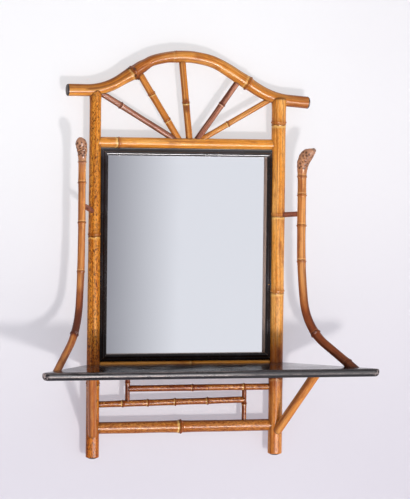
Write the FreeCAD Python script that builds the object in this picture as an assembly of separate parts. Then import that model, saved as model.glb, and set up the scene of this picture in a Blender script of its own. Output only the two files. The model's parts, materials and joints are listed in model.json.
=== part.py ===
import FreeCAD
import Part
import math
import os

Vector = FreeCAD.Vector
os.makedirs("parts", exist_ok=True)

# Bamboo wall mirror with a lacquered shelf. Millimetres, +Z up, the front faces -Y.
# The wall is the plane Y = 0 and the origin lies on it, midway between the hanging holes.

# Layout of the canes
POST_SPACING = 400.0
HANGER_ABOVE_SHELF = 420.0
UPPER_RAIL_ABOVE_SHELF = 461.0
BOTTOM_RAIL_BELOW_SHELF = 134.0
FOOT_BELOW_SHELF = 196.0
SILL_RAIL_PROUD = 5.0

# Outside radii of the canes
LEFT_POST_TOP_RADIUS = 12.0
LEFT_POST_FOOT_RADIUS = 14.0
RIGHT_POST_TOP_RADIUS = 15.0
RIGHT_POST_FOOT_RADIUS = 15.2
ARCH_RADIUS = 12.5
UPPER_RAIL_RADIUS = 11.4
SILL_RAIL_RADIUS = 11.4
BOTTOM_RAIL_RADIUS = 12.4
FRET_RAIL_RADIUS = 6.8
FRET_STRUT_RADIUS = 4.9
LEFT_ARM_RADIUS = 7.6
RIGHT_ARM_RADIUS = 9.0
LEFT_BRACE_RADIUS = 9.2
RIGHT_BRACE_RADIUS = 10.0
PEG_RADIUS = 5.5

# Cane walls, septa and the swollen ring at each node
POST_WALL = 4.8
RAIL_WALL = 4.6
SEPTUM = 3.0
RELIEF_HOLE_RADIUS = 2.0
ridge_length_share = 0.34
ridge_height_share = 0.075
groove_length_share = 0.2
groove_depth_share = 0.03

# Where the nodes fall, as shares of each cane's length from its first end
left_post_node_shares = [0.196, 0.601]
right_post_node_shares = [0.213, 0.453, 0.669, 0.926]
upper_rail_node_shares = [0.117]
sill_rail_node_shares = [0.53]
bottom_rail_node_shares = [0.467]
arch_node_shares = [0.258, 0.437, 0.741]
fret_upper_node_shares = [0.43, 0.78]
fret_lower_node_shares = [0.19, 0.355, 0.535, 0.75]
fret_strut_node_shares = [0.55]
left_arm_node_shares = [0.095, 0.265, 0.48, 0.79]
right_arm_node_shares = [0.085, 0.225, 0.39, 0.75, 0.965]

# The arch: a hand-bent cane, one end lower than the other. A run with no turn is straight.
ARCH_START_ABOVE_SHELF = 568.1
ARCH_START_LEAN = 0.5
arch_start_share = 0.645
arch_run_shares = [
    (0.092, 0),
    (0.352, 32.9),
    (0.093, 0),
    (0.463, -63.3),
    (0.209, 0),
    (0.425, 25.7),
    (0.098, 0),
]

# The stub of a branch left on the arch beside its first node
BRANCH_STUB_RADIUS = 4.0
BRANCH_STUB_TIP_RADIUS = 2.8
BRANCH_STUB_RISE = 3.0

# The fan: foot on the upper rail and head on the arch, as shares of the post spacing
fan_shares = {
    "spoke_outer_left": (-0.034, -0.5),
    "spoke_inner_left": (-0.035, -0.277),
    "spoke_centre": (0.012, -0.036),
    "spoke_inner_right": (0.036, 0.286),
    "spoke_outer_right": (0.037, 0.473),
}
SPOKE_RADII = {
    "spoke_outer_left": 6.4,
    "spoke_inner_left": 7.2,
    "spoke_centre": 7.2,
    "spoke_inner_right": 6.5,
    "spoke_outer_right": 6.0,
}
spoke_node_shares = {
    "spoke_outer_left": [0.7],
    "spoke_inner_left": [0.307, 0.663],
    "spoke_centre": [0.459],
    "spoke_inner_right": [0.592],
    "spoke_outer_right": [0.412],
}
spoke_trimmed_by = {"spoke_outer_left": "spoke_inner_left", "spoke_outer_right": "spoke_inner_right"}

# The fret under the shelf
FRET_UPPER_BELOW_SHELF = 52.5
FRET_LOWER_BELOW_SHELF = 85.0
FRET_LOWER_RISE = 5.5
fret_left_strut_share = -0.312
fret_right_strut_share = 0.328

# The shelf board
SHELF_THICKNESS = 16.0
SHELF_BACK_WIDTH = 428.0
SHELF_FRONT_WIDTH = 738.0
SHELF_REACH = 235.0
SHELF_CORNER_RADIUS = 13.0
SHELF_TOP_ROUND = 6.5
SHELF_UNDER_ROUND = 5.0

# The side arms: bent root canes standing on the shelf, each with a root knob on top
ARM_STEM_BEYOND_POST = 38.6
ARM_STEM_FROM_WALL = 60.0
ARM_EDGE_INSET = 8.2
arm_foot_share = 0.692
LEFT_ARM_NECK_ABOVE_SHELF = 422.0
RIGHT_ARM_NECK_ABOVE_SHELF = 397.0
ARM_SLOW_BEND_RADIUS = 980.0
ARM_SLOW_BEND_TURN = 7.8
ARM_QUICK_BEND_RADIUS = 123.0
ARM_QUICK_BEND_TURN = 50.6
knob_out_shares = [0, 0.05, 0.28, 0.95, 2.0, 2.95, 3.8]
knob_up_shares = [0, 1.5, 2.9, 4.2, 5.3, 6.2, 7.0]
knob_radius_shares = [1.0, 1.15, 1.38, 1.5, 1.38, 1.2, 1.0]
KNOB_TILTS = [0, 8, 22, 36, 44, 47, 48]
knob_top_share = 6.4
LEFT_PEG_ABOVE_SHELF = 316.0
RIGHT_PEG_ABOVE_SHELF = 312.0
LEFT_PEG_RISE = 16.0
RIGHT_PEG_RISE = 4.0
PEG_SOCKET = 3.5

# The braces under the shelf
BRACE_FOOT_BELOW_SHELF = 154.0
BRACE_TOP_BEYOND_POST = 39.0
BRACE_TOP_FROM_WALL = 160.0

# The mirror: a mitred, rebated moulding with glass and a backing board
FRAME_EDGE_FROM_POST_AXIS = 11.5
FRAME_MEMBER_WIDTH = 15.0
FRAME_DEPTH = 23.0
FRAME_FRONT_FROM_WALL = 25.0
BEAD_WIDTH = 9.0
BEAD_RISE = 3.0
QUIRK_DROP = 1.2
OUTER_EDGE_DROP = 5.5
LIP_DEPTH = 14.0
REBATE = 5.0
GLASS_THICKNESS = 3.0
BACKING_THICKNESS = 3.0
BACKING_BEVEL = 1.5
GLASS_PLAY = 1.0

# Dowels, pins, nails and screws
RAIL_DOWEL_IN_RAIL = 30.0
RAIL_DOWEL_IN_POST = 6.0
POST_DOWEL_IN_POST = 36.0
POST_TENON_RADIUS = 5.0
POST_TENON_IN_ARCH = 8.0
SPOKE_PIN_RADIUS = 1.2
SPOKE_PIN_IN_SPOKE = 16.0
SPOKE_PIN_IN_RAIL = 6.5
FRET_PIN_RADIUS = 1.5
FRET_PIN_IN_CANE = 14.0
FRET_PIN_IN_MATE = 4.0
STOUT_PIN_RADIUS = 2.5
STOUT_PIN_IN_CANE = 16.0
STOUT_PIN_IN_MATE = 7.0
SHELF_SCREW_RADIUS = 2.0
SHELF_SCREW_HEAD_RADIUS = 4.0
SHELF_SCREW_HEAD = 2.6
SHELF_SCREW_IN_BOARD = 24.0
shelf_screw_share = 0.28
FRAME_NAIL_RADIUS = 1.0
FRAME_NAIL_LENGTH = 17.0
FRAME_NAIL_DEPTH = 18.5
frame_nail_shares = [0.24, 0.78]
SPRIG_RADIUS = 0.8
SPRIG_IN_FRAME = 5.5
SPRIG_OVER_BACKING = 5.5
sprig_shares = [-0.3, 0.3]
CLIP_LENGTH = 8.0
CLIP_THICKNESS = 1.0
CLIP_DEPTH = 6.0
clip_mitre_share = 0.35
PLUG_HEAD = 3.5
PLUG_ROUND = 3.0
PLUG_SPIGOT = 18.0
plug_bulge_share = 0.29

# The hanging plates let into the backs of the posts
HANGER_WIDTH = 11.0
HANGER_HEIGHT = 46.0
HANGER_THICKNESS = 1.5
HANGER_HOLE_RADIUS = 3.5
HANGER_SLOT_RADIUS = 1.8
HANGER_SLOT_RISE = 8.0
HANGER_SCREW_OFFSET = 17.0
HANGER_SCREW_RADIUS = 1.3
HANGER_SCREW_HEAD_RADIUS = 2.6
HANGER_SCREW_LENGTH = 9.0
SCREW_HEAD_ROOM = 1.4

# Fits: FIT is the radial play of dowels and pins, SCRIBE the joint line of a coped end
FIT = 0.1
SCRIBE = 0.2
OVERRUN = 5.0
SAME_SIZE = 0.001

UP = Vector(0, 0, 1)
RIGHT = Vector(1, 0, 0)
BACK = Vector(0, 1, 0)
SIDES = {"left": -1, "right": 1}
QUARTER_TURN = 90
MITRE_TURN = 45

shelf_z = -HANGER_ABOVE_SHELF
foot_z = shelf_z - FOOT_BELOW_SHELF
upper_rail_z = shelf_z + UPPER_RAIL_ABOVE_SHELF
sill_rail_z = shelf_z + SILL_RAIL_PROUD - SILL_RAIL_RADIUS
bottom_rail_z = shelf_z - BOTTOM_RAIL_BELOW_SHELF
fret_upper_z = shelf_z - FRET_UPPER_BELOW_SHELF
fret_lower_z = shelf_z - FRET_LOWER_BELOW_SHELF


# Shapes shared by the pieces
def tapered_rod(start, end, radius_start, radius_end):
    axis = end - start
    if abs(radius_start - radius_end) < SAME_SIZE:
        shape = Part.makeCylinder(radius_start, axis.Length)
    else:
        shape = Part.makeCone(radius_start, radius_end, axis.Length)
    shape.Placement = FreeCAD.Placement(start, FreeCAD.Rotation(UP, axis))
    return shape


def rod(start, end, radius):
    return tapered_rod(start, end, radius, radius)


def revolved(edges, start, axis):
    shape = Part.Face(Part.Wire(edges)).revolve(Vector(0, 0, 0), UP)
    shape.Placement = FreeCAD.Placement(start, FreeCAD.Rotation(UP, axis))
    return shape


def culm(start, end, radius_start, radius_end, node_shares):
    """A straight cane: below each node a sheath-scar groove, above it a raised ring."""
    length = (end - start).Length

    def skin(distance, raised=0.0):
        radius = radius_start + (radius_end - radius_start) * distance / length
        return Vector(radius + raised, 0, distance)

    edges = [Part.makeLine(Vector(0, 0, 0), skin(0))]
    reached = 0.0
    for share in node_shares:
        node = share * length
        radius = skin(node).x
        groove = groove_length_share * radius
        ridge = ridge_length_share * radius
        dip = skin(node - groove / 2, -groove_depth_share * radius)
        crown = skin(node + ridge / 2, ridge_height_share * radius)
        edges.append(Part.makeLine(skin(reached), skin(node - groove)))
        edges.append(Part.Arc(skin(node - groove), dip, skin(node)).toShape())
        edges.append(Part.Arc(skin(node), crown, skin(node + ridge)).toShape())
        reached = node + ridge
    edges.append(Part.makeLine(skin(reached), skin(length)))
    edges.append(Part.makeLine(skin(length), Vector(0, 0, length)))
    edges.append(Part.makeLine(Vector(0, 0, length), Vector(0, 0, 0)))
    return revolved(edges, start, end - start)


def bored(cane, start, end, radius_start, radius_end, node_shares, wall):
    """Hollow a cane between its septa and pierce each septum with a small relief hole."""
    axis = end - start
    along = axis / axis.Length
    stops = [0.0] + list(node_shares) + [1.0]
    bores = [rod(start, end, RELIEF_HOLE_RADIUS)]
    for near_share, far_share in zip(stops[:-1], stops[1:]):
        near_pull = -OVERRUN if near_share == 0 else SEPTUM / 2
        far_pull = -OVERRUN if far_share == 1 else SEPTUM / 2
        near = start + axis * near_share + along * near_pull
        far = start + axis * far_share - along * far_pull
        near_radius = radius_start + (radius_end - radius_start) * near_share - wall
        far_radius = radius_start + (radius_end - radius_start) * far_share - wall
        bores.append(tapered_rod(near, far, near_radius, far_radius))
    return cane.cut(bores)


def bent_wire(start, heading, runs, across):
    """Tangent straights and bends in the upright plane of `across`; angles in degrees."""
    edges = []
    point = start
    angle = math.radians(heading)

    def normal(at_angle):
        return UP * math.cos(at_angle) - across * math.sin(at_angle)

    for size, turn in runs:
        if turn == 0:
            end = point + (across * math.cos(angle) + UP * math.sin(angle)) * size
            edges.append(Part.makeLine(point, end))
        else:
            bend = math.radians(turn)
            reach = math.copysign(size, turn)
            centre = point + normal(angle) * reach
            middle = centre - normal(angle + bend / 2) * reach
            end = centre - normal(angle + bend) * reach
            edges.append(Part.Arc(point, middle, end).toShape())
            angle += bend
        point = end
    return Part.Wire(edges)


def along_wire(wire, distance):
    """The point and the direction at a distance along a wire."""
    for edge in wire.Edges:
        if distance <= edge.Length or edge.isSame(wire.Edges[-1]):
            break
        distance -= edge.Length
    parameter = edge.getParameterByLength(min(distance, edge.Length))
    return edge.valueAt(parameter), edge.tangentAt(parameter)


def swept(wire, radius):
    start, direction = along_wire(wire, 0)
    profile = Part.Wire(Part.makeCircle(radius, start, direction))
    return wire.makePipeShell([profile], True, False)


def node_ring(wire, distance, radius):
    """The raised ring of a node on a bent cane."""
    point, direction = along_wire(wire, distance)
    half = ridge_length_share * radius / 2
    inner = radius - ridge_height_share * radius
    lower = Vector(inner, 0, -half)
    upper = Vector(inner, 0, half)
    crown = Vector(radius + ridge_height_share * radius, 0, 0)
    edges = [Part.Arc(lower, crown, upper).toShape(), Part.makeLine(upper, lower)]
    return revolved(edges, point, direction)


def largest(shape):
    return max(shape.Solids, key=lambda solid: solid.Volume)


def slot_prism(width, height, centre, depth):
    """A round-ended upright slot, cut from `centre` forwards by `depth`."""
    radius = width / 2
    rise = UP * (height / 2 - radius)
    low = centre - rise
    high = centre + rise
    edges = [
        Part.makeLine(high - RIGHT * radius, low - RIGHT * radius),
        Part.Arc(low - RIGHT * radius, low - UP * radius, low + RIGHT * radius).toShape(),
        Part.makeLine(low + RIGHT * radius, high + RIGHT * radius),
        Part.Arc(high + RIGHT * radius, high + UP * radius, high - RIGHT * radius).toShape(),
    ]
    return Part.Face(Part.Wire(edges)).extrude(-BACK * depth)


def screw(head_point, direction, length, radius, head_radius, head_length):
    """A countersunk screw, its head flush at `head_point`, pointing along `direction`."""
    neck = head_point + direction * head_length
    head = tapered_rod(head_point, neck, head_radius, radius)
    return head.fuse(rod(neck, head_point + direction * length, radius)).removeSplitter()


def screw_hole(head_point, direction, length, radius, head_radius, head_length):
    """The hole for that screw, open a little above the head and looser by FIT."""
    above = rod(head_point - direction * OVERRUN, head_point, head_radius + FIT)
    hole = screw(head_point, direction, length + FIT, radius + FIT, head_radius + FIT, head_length)
    return above.fuse(hole)


# Centre lines of the posts, the rails and the arch
def post_radius(side, z):
    share = (z - foot_z) / (arch_z_at_post[side] - foot_z)
    return post_foot_radius[side] + (post_top_radius[side] - post_foot_radius[side]) * share


def post_point(side, z):
    """The centre of a post, which leans by its taper so that its back lies flat on the wall."""
    return Vector(SIDES[side] * POST_SPACING / 2, -post_radius(side, z), z)


def post_cane(side, gap):
    start = post_point(side, foot_z + PLUG_HEAD)
    end = post_point(side, arch_z_at_post[side])
    radii = post_radius(side, start.z) + gap, post_radius(side, end.z) + gap
    return culm(start, end, *radii, post_node_shares[side])


def arch_point(x):
    upright = Part.makeLine(Vector(x, rail_y, shelf_z), Vector(x, rail_y, shelf_z + arch_search))
    return arch_wire.distToShape(upright)[1][0][0]


def arch_normal(x):
    ahead = arch_point(x + FIT)
    slope = ahead - arch_point(x - FIT)
    return Vector(-slope.z, 0, slope.x).normalize()


post_foot_radius = {"left": LEFT_POST_FOOT_RADIUS, "right": RIGHT_POST_FOOT_RADIUS}
post_top_radius = {"left": LEFT_POST_TOP_RADIUS, "right": RIGHT_POST_TOP_RADIUS}
post_node_shares = {"left": left_post_node_shares, "right": right_post_node_shares}

arch_search = 2 * ARCH_START_ABOVE_SHELF
arch_runs = [(share * POST_SPACING, turn) for share, turn in arch_run_shares]


def arch_centreline(y):
    start = Vector(-arch_start_share * POST_SPACING, y, shelf_z + ARCH_START_ABOVE_SHELF)
    return bent_wire(start, ARCH_START_LEAN, arch_runs, RIGHT)


# The rails and the arch lie in one upright plane, set by the slimmer post
rail_y = 0.0
arch_wire = arch_centreline(rail_y)
arch_z_at_post = {side: arch_point(sign * POST_SPACING / 2).z for side, sign in SIDES.items()}
rail_y = max(post_point(side, upper_rail_z).y for side in SIDES) - SCRIBE
arch_wire = arch_centreline(rail_y)
half_spacing = POST_SPACING / 2


def rail_point(x, z):
    return Vector(x, rail_y, z)


def rail_cane(z, radius, node_shares):
    return culm(rail_point(-half_spacing, z), rail_point(half_spacing, z), radius, radius, node_shares)


# What a coped end is cut away by: the mating cane, nodes included, a joint line larger
copes = {side + "_post": post_cane(side, SCRIBE) for side in SIDES}
copes["upper_crossrail"] = rail_cane(upper_rail_z, UPPER_RAIL_RADIUS + SCRIBE, upper_rail_node_shares)
copes["sill_rail"] = rail_cane(sill_rail_z, SILL_RAIL_RADIUS + SCRIBE, sill_rail_node_shares)
copes["bottom_crossrail"] = rail_cane(bottom_rail_z, BOTTOM_RAIL_RADIUS + SCRIBE, bottom_rail_node_shares)
copes["arch_rail"] = swept(arch_wire, ARCH_RADIUS + SCRIBE)
both_posts = [copes["left_post"], copes["right_post"]]

nodes = {}


# The hollow posts, their tops fish-mouthed under the arch
for side in SIDES:
    start = post_point(side, foot_z + PLUG_HEAD)
    end = post_point(side, arch_z_at_post[side])
    radii = post_radius(side, start.z), post_radius(side, end.z)
    cane = bored(post_cane(side, 0), start, end, *radii, post_node_shares[side], POST_WALL)
    nodes[side + "_post"] = largest(cane.cut(copes["arch_rail"]))

# The hollow arch and its end plugs
arch = swept(arch_wire, ARCH_RADIUS)
for share in arch_node_shares:
    arch = arch.fuse(node_ring(arch_wire, share * arch_wire.Length, ARCH_RADIUS))
stub_root, stub_along = along_wire(arch_wire, arch_node_shares[0] * arch_wire.Length)
stub_under = Vector(stub_along.z, 0, -stub_along.x)
stub_way = (stub_under - BACK).normalize()
stub_tip = stub_root + stub_way * (ARCH_RADIUS + BRANCH_STUB_RISE)
arch = arch.fuse(tapered_rod(stub_root, stub_tip, BRANCH_STUB_RADIUS, BRANCH_STUB_TIP_RADIUS))
arch_bore = ARCH_RADIUS - RAIL_WALL
nodes["arch_rail"] = largest(arch.cut(swept(arch_wire, arch_bore)))


def end_plug(point, outward, head_radius, bore):
    """A turned plug: a rounded head over the end of a cane and a spigot in its bore."""
    face = Vector(head_radius, 0, 0)
    shoulder = Vector(head_radius, 0, PLUG_HEAD - PLUG_ROUND)
    rim = Vector(head_radius - PLUG_ROUND, 0, PLUG_HEAD)
    bulge = shoulder + (rim - shoulder) / 2 + Vector(1, 0, 1).normalize() * PLUG_ROUND * plug_bulge_share
    corners = [
        Vector(0, 0, PLUG_HEAD),
        Vector(0, 0, -PLUG_SPIGOT),
        Vector(bore, 0, -PLUG_SPIGOT),
        Vector(bore, 0, 0),
        face,
        shoulder,
    ]
    edges = [Part.makeLine(a, b) for a, b in zip(corners[:-1], corners[1:])]
    edges.append(Part.Arc(shoulder, bulge, rim).toShape())
    edges.append(Part.makeLine(rim, corners[0]))
    return revolved(edges, point, outward)


first_point, first_direction = along_wire(arch_wire, 0)
last_point, last_direction = along_wire(arch_wire, arch_wire.Length)
plug_bore = arch_bore - FIT
nodes["arch_plug_left"] = end_plug(first_point, -first_direction, ARCH_RADIUS, plug_bore)
nodes["arch_plug_right"] = end_plug(last_point, last_direction, ARCH_RADIUS, plug_bore)
for side in SIDES:
    point = post_point(side, foot_z + PLUG_HEAD)
    radius = post_radius(side, point.z)
    outward = point - post_point(side, upper_rail_z)
    nodes["foot_plug_" + side] = end_plug(point, outward, radius, radius - POST_WALL - FIT)


# The three stout rails between the posts, coped to the posts and held by dowels in their bores
def stout_rail(z, radius, node_shares):
    start = rail_point(-half_spacing, z)
    end = rail_point(half_spacing, z)
    cane = bored(rail_cane(z, radius, node_shares), start, end, radius, radius, node_shares, RAIL_WALL)
    return largest(cane.cut(both_posts))


def rail_dowels(z, radius):
    dowels = []
    for side, sign in SIDES.items():
        face_x = sign * (half_spacing - post_radius(side, z))
        tip = rail_point(face_x + sign * RAIL_DOWEL_IN_POST, z)
        heel = rail_point(face_x - sign * RAIL_DOWEL_IN_RAIL, z)
        dowels.append(rod(heel, tip, radius - RAIL_WALL - FIT))
        hole = rod(heel, tip + RIGHT * sign * FIT, radius - RAIL_WALL)
        nodes[side + "_post"] = nodes[side + "_post"].cut(hole)
    return Part.Compound(dowels)


nodes["upper_crossrail"] = stout_rail(upper_rail_z, UPPER_RAIL_RADIUS, upper_rail_node_shares)
nodes["sill_rail"] = stout_rail(sill_rail_z, SILL_RAIL_RADIUS, sill_rail_node_shares)
nodes["bottom_crossrail"] = stout_rail(bottom_rail_z, BOTTOM_RAIL_RADIUS, bottom_rail_node_shares)
nodes["upper_rail_dowels"] = rail_dowels(upper_rail_z, UPPER_RAIL_RADIUS)
nodes["sill_rail_dowels"] = rail_dowels(sill_rail_z, SILL_RAIL_RADIUS)
nodes["bottom_rail_dowels"] = rail_dowels(bottom_rail_z, BOTTOM_RAIL_RADIUS)

# A stepped dowel fills each post's top bore and its tenon enters the arch
for side in SIDES:
    top = post_point(side, arch_z_at_post[side] - ARCH_RADIUS - SCRIBE)
    heel = top - UP * POST_DOWEL_IN_POST
    bore = post_radius(side, top.z) - POST_WALL
    shank = rod(heel, top, min(bore, post_top_radius[side] - POST_WALL) - FIT)
    crown = top + UP * POST_TENON_IN_ARCH
    tenon = rod(heel, crown, POST_TENON_RADIUS)
    dowel = shank.cut(copes["arch_rail"]).fuse(tenon).removeSplitter()
    nodes["post_top_dowel_" + side] = largest(dowel)
    nodes["arch_rail"] = nodes["arch_rail"].cut(rod(heel, crown + UP * FIT, POST_TENON_RADIUS + FIT))

# The fan of spokes, each scribed to the rail, the arch and its neighbour
spoke_ends = {}
for name, (foot_share, head_share) in fan_shares.items():
    spoke_foot = rail_point(foot_share * POST_SPACING, upper_rail_z)
    spoke_ends[name] = spoke_foot, arch_point(head_share * POST_SPACING)
spoke_pins = []
for name, (foot, head) in spoke_ends.items():
    radius = SPOKE_RADII[name]
    trims = [copes["upper_crossrail"], copes["arch_rail"]] + both_posts
    if name in spoke_trimmed_by:
        neighbour = spoke_trimmed_by[name]
        trims.append(rod(*spoke_ends[neighbour], SPOKE_RADII[neighbour] + SCRIBE))
    spoke = largest(culm(foot, head, radius, radius, spoke_node_shares[name]).cut(trims))
    along = (head - foot).normalize()
    into_rail = UPPER_RAIL_RADIUS / along.z
    into_arch = ARCH_RADIUS / abs(along.dot(arch_normal(head.x)))
    rail_seat = foot + along * into_rail
    arch_seat = head - along * into_arch
    for seat, inward, mate in ((rail_seat, -along, "upper_crossrail"), (arch_seat, along, "arch_rail")):
        heel = seat - inward * SPOKE_PIN_IN_SPOKE
        tip = seat + inward * SPOKE_PIN_IN_RAIL
        spoke_pins.append(rod(heel, tip, SPOKE_PIN_RADIUS))
        hole = rod(heel - inward * FIT, tip + inward * FIT, SPOKE_PIN_RADIUS + FIT)
        spoke = spoke.cut(hole)
        nodes[mate] = nodes[mate].cut(hole)
    nodes[name] = spoke
nodes["spoke_pins"] = Part.Compound(spoke_pins)

# The fret of thin canes between the shelf and the bottom rail
left_strut_x = fret_left_strut_share * POST_SPACING
right_strut_x = fret_right_strut_share * POST_SPACING
fret_lower_start = rail_point(-half_spacing, fret_lower_z)
fret_lower_end = rail_point(right_strut_x, fret_lower_z + FRET_LOWER_RISE)
strut_share = (left_strut_x + half_spacing) / (right_strut_x + half_spacing)
strut_foot = rail_point(left_strut_x, fret_lower_z + FRET_LOWER_RISE * strut_share)
fret_lines = {
    "fret_rail_lower": (fret_lower_start, fret_lower_end, FRET_RAIL_RADIUS, fret_lower_node_shares),
    "fret_rail_upper": (rail_point(left_strut_x, fret_upper_z), rail_point(half_spacing, fret_upper_z),
                        FRET_RAIL_RADIUS, fret_upper_node_shares),
    "fret_strut_left": (strut_foot, rail_point(left_strut_x, sill_rail_z),
                        FRET_STRUT_RADIUS, fret_strut_node_shares),
    "fret_strut_right": (rail_point(right_strut_x, bottom_rail_z), rail_point(right_strut_x, fret_upper_z),
                         FRET_STRUT_RADIUS, fret_strut_node_shares),
}
fret_mates = {
    "fret_rail_lower": ("left_post", "fret_strut_right"),
    "fret_rail_upper": ("fret_strut_left", "right_post"),
    "fret_strut_left": ("fret_rail_lower", "sill_rail"),
    "fret_strut_right": ("bottom_crossrail", "fret_rail_upper"),
}
mate_radius = {
    "left_post": post_radius("left", fret_lower_z),
    "right_post": post_radius("right", fret_upper_z),
    "sill_rail": SILL_RAIL_RADIUS,
    "bottom_crossrail": BOTTOM_RAIL_RADIUS,
}
for name, (start, end, radius, node_shares) in fret_lines.items():
    mate_radius[name] = radius
    copes[name] = culm(start, end, radius + SCRIBE, radius + SCRIBE, node_shares)
for name, (start, end, radius, node_shares) in fret_lines.items():
    first_mate, last_mate = fret_mates[name]
    cane = culm(start, end, radius, radius, node_shares)
    nodes[name] = largest(cane.cut([copes[first_mate], copes[last_mate]]))
fret_pins = []
for name, (start, end, radius, node_shares) in fret_lines.items():
    along = (end - start).normalize()
    first_mate, last_mate = fret_mates[name]
    for point, inward, mate in ((start, -along, first_mate), (end, along, last_mate)):
        seat = point - inward * mate_radius[mate]
        heel = seat - inward * FRET_PIN_IN_CANE
        tip = seat + inward * FRET_PIN_IN_MATE
        fret_pins.append(rod(heel, tip, FRET_PIN_RADIUS))
        hole = rod(heel - inward * FIT, tip + inward * FIT, FRET_PIN_RADIUS + FIT)
        for piece in (name, mate):
            nodes[piece] = nodes[piece].cut(hole)
nodes["fret_pins"] = Part.Compound(fret_pins)

# The shelf board: a wide front with rounded corners, scribed to the posts behind
shelf_back_y = rail_y - SILL_RAIL_RADIUS - SCRIBE
shelf_under_z = shelf_z - SHELF_THICKNESS
back_corner = Vector(SHELF_BACK_WIDTH / 2, shelf_back_y, shelf_under_z)
front_corner = Vector(SHELF_FRONT_WIDTH / 2, -SHELF_REACH, shelf_under_z)
shelf_side = front_corner - back_corner
shelf_along = Vector(shelf_side.x, shelf_side.y, shelf_side.z).normalize()


def mirrored(point):
    return Vector(-point.x, point.y, point.z)


def shelf_board():
    half_angle = (-shelf_along).getAngle(-RIGHT) / 2
    setback = SHELF_CORNER_RADIUS / math.tan(half_angle)
    on_side = front_corner - shelf_along * setback
    on_front = front_corner - RIGHT * setback
    corner_reach = SHELF_CORNER_RADIUS / math.sin(half_angle) - SHELF_CORNER_RADIUS
    inward = (-shelf_along - RIGHT).normalize()
    on_corner = front_corner + inward * corner_reach
    edges = [
        Part.makeLine(mirrored(back_corner), back_corner),
        Part.makeLine(back_corner, on_side),
        Part.Arc(on_side, on_corner, on_front).toShape(),
        Part.makeLine(on_front, mirrored(on_front)),
        Part.Arc(mirrored(on_front), mirrored(on_corner), mirrored(on_side)).toShape(),
        Part.makeLine(mirrored(on_side), mirrored(back_corner)),
    ]
    board = Part.Face(Part.Wire(edges)).extrude(UP * SHELF_THICKNESS)
    for z, round_radius in ((shelf_z, SHELF_TOP_ROUND), (shelf_under_z, SHELF_UNDER_ROUND)):
        rounded = []
        for edge in board.Edges:
            low = min(vertex.Z for vertex in edge.Vertexes)
            level = abs(edge.BoundBox.ZMax - z) < FIT and abs(low - z) < FIT
            if level and edge.BoundBox.YMin < shelf_back_y - FIT:
                rounded.append(edge)
        board = board.makeFillet(round_radius, rounded)
    return board.cut(both_posts + [copes["sill_rail"]])


nodes["shelf_board"] = largest(shelf_board())

# Screws through the sill rail and through both posts into the back edge of the shelf
screw_z = shelf_z - SHELF_THICKNESS / 2
rail_half_depth = math.sqrt(SILL_RAIL_RADIUS ** 2 - (screw_z - sill_rail_z) ** 2)
shelf_screw_seats = []
for side, sign in SIDES.items():
    rail_head = Vector(sign * shelf_screw_share * POST_SPACING, rail_y + rail_half_depth - FIT, screw_z)
    shelf_screw_seats.append((rail_head, "sill_rail"))
    post_head = post_point(side, screw_z) + BACK * (post_radius(side, screw_z) - FIT)
    shelf_screw_seats.append((post_head, side + "_post"))
shelf_screws = []
for head, holder in shelf_screw_seats:
    length = head.y - shelf_back_y + SHELF_SCREW_IN_BOARD
    shape = (length, SHELF_SCREW_RADIUS, SHELF_SCREW_HEAD_RADIUS, SHELF_SCREW_HEAD)
    shelf_screws.append(screw(head, -BACK, *shape))
    hole = screw_hole(head, -BACK, *shape)
    for piece in (holder, "shelf_board"):
        nodes[piece] = nodes[piece].cut(hole)
nodes["shelf_screws"] = Part.Compound(shelf_screws)

# The side arms, their pegs to the posts and their pins into the shelf
arm_radius = {"left": LEFT_ARM_RADIUS, "right": RIGHT_ARM_RADIUS}
arm_neck_z = {"left": shelf_z + LEFT_ARM_NECK_ABOVE_SHELF, "right": shelf_z + RIGHT_ARM_NECK_ABOVE_SHELF}
arm_node_shares = {"left": left_arm_node_shares, "right": right_arm_node_shares}
peg_z = {"left": shelf_z + LEFT_PEG_ABOVE_SHELF, "right": shelf_z + RIGHT_PEG_ABOVE_SHELF}
peg_rise = {"left": LEFT_PEG_RISE, "right": RIGHT_PEG_RISE}
slow_bend = math.radians(ARM_SLOW_BEND_TURN)
whole_bend = math.radians(ARM_SLOW_BEND_TURN + ARM_QUICK_BEND_TURN)
bends_out = (ARM_SLOW_BEND_RADIUS * (1 - math.cos(slow_bend))
             + ARM_QUICK_BEND_RADIUS * (math.cos(slow_bend) - math.cos(whole_bend)))
bends_down = (ARM_SLOW_BEND_RADIUS * math.sin(slow_bend)
              + ARM_QUICK_BEND_RADIUS * (math.sin(whole_bend) - math.sin(slow_bend)))
edge_inward = Vector(shelf_along.y, -shelf_along.x, 0)
arm_foot = back_corner + shelf_side * arm_foot_share + edge_inward * ARM_EDGE_INSET + UP * SHELF_THICKNESS
arm_stem = Vector(half_spacing + ARM_STEM_BEYOND_POST, -ARM_STEM_FROM_WALL, arm_foot.z)
below_shelf_top = Part.makeBox(SHELF_FRONT_WIDTH, SHELF_REACH + OVERRUN, SHELF_REACH,
                               Vector(-SHELF_FRONT_WIDTH / 2, -SHELF_REACH, shelf_z - SHELF_REACH + FIT))
arm_pins = []


def root_knob(neck, outward, radius):
    """The knob of the root end, leaning outwards, lofted through tilted circles and sawn level on top."""
    rings = []
    for out, up, swell, tilt in zip(knob_out_shares, knob_up_shares, knob_radius_shares, KNOB_TILTS):
        lean = math.radians(tilt)
        centre = neck + outward * (out * radius) + UP * (up * radius)
        direction = UP * math.cos(lean) + outward * math.sin(lean)
        rings.append(Part.Wire(Part.makeCircle(swell * radius, centre, direction)))
    knob = Part.makeLoft(rings, True, False)
    reach = knob.BoundBox.DiagonalLength
    top_z = neck.z + knob_top_share * radius
    return knob.cut(Part.makeBox(reach * 2, reach * 2, reach, Vector(neck.x - reach, neck.y - reach, top_z)))


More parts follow.
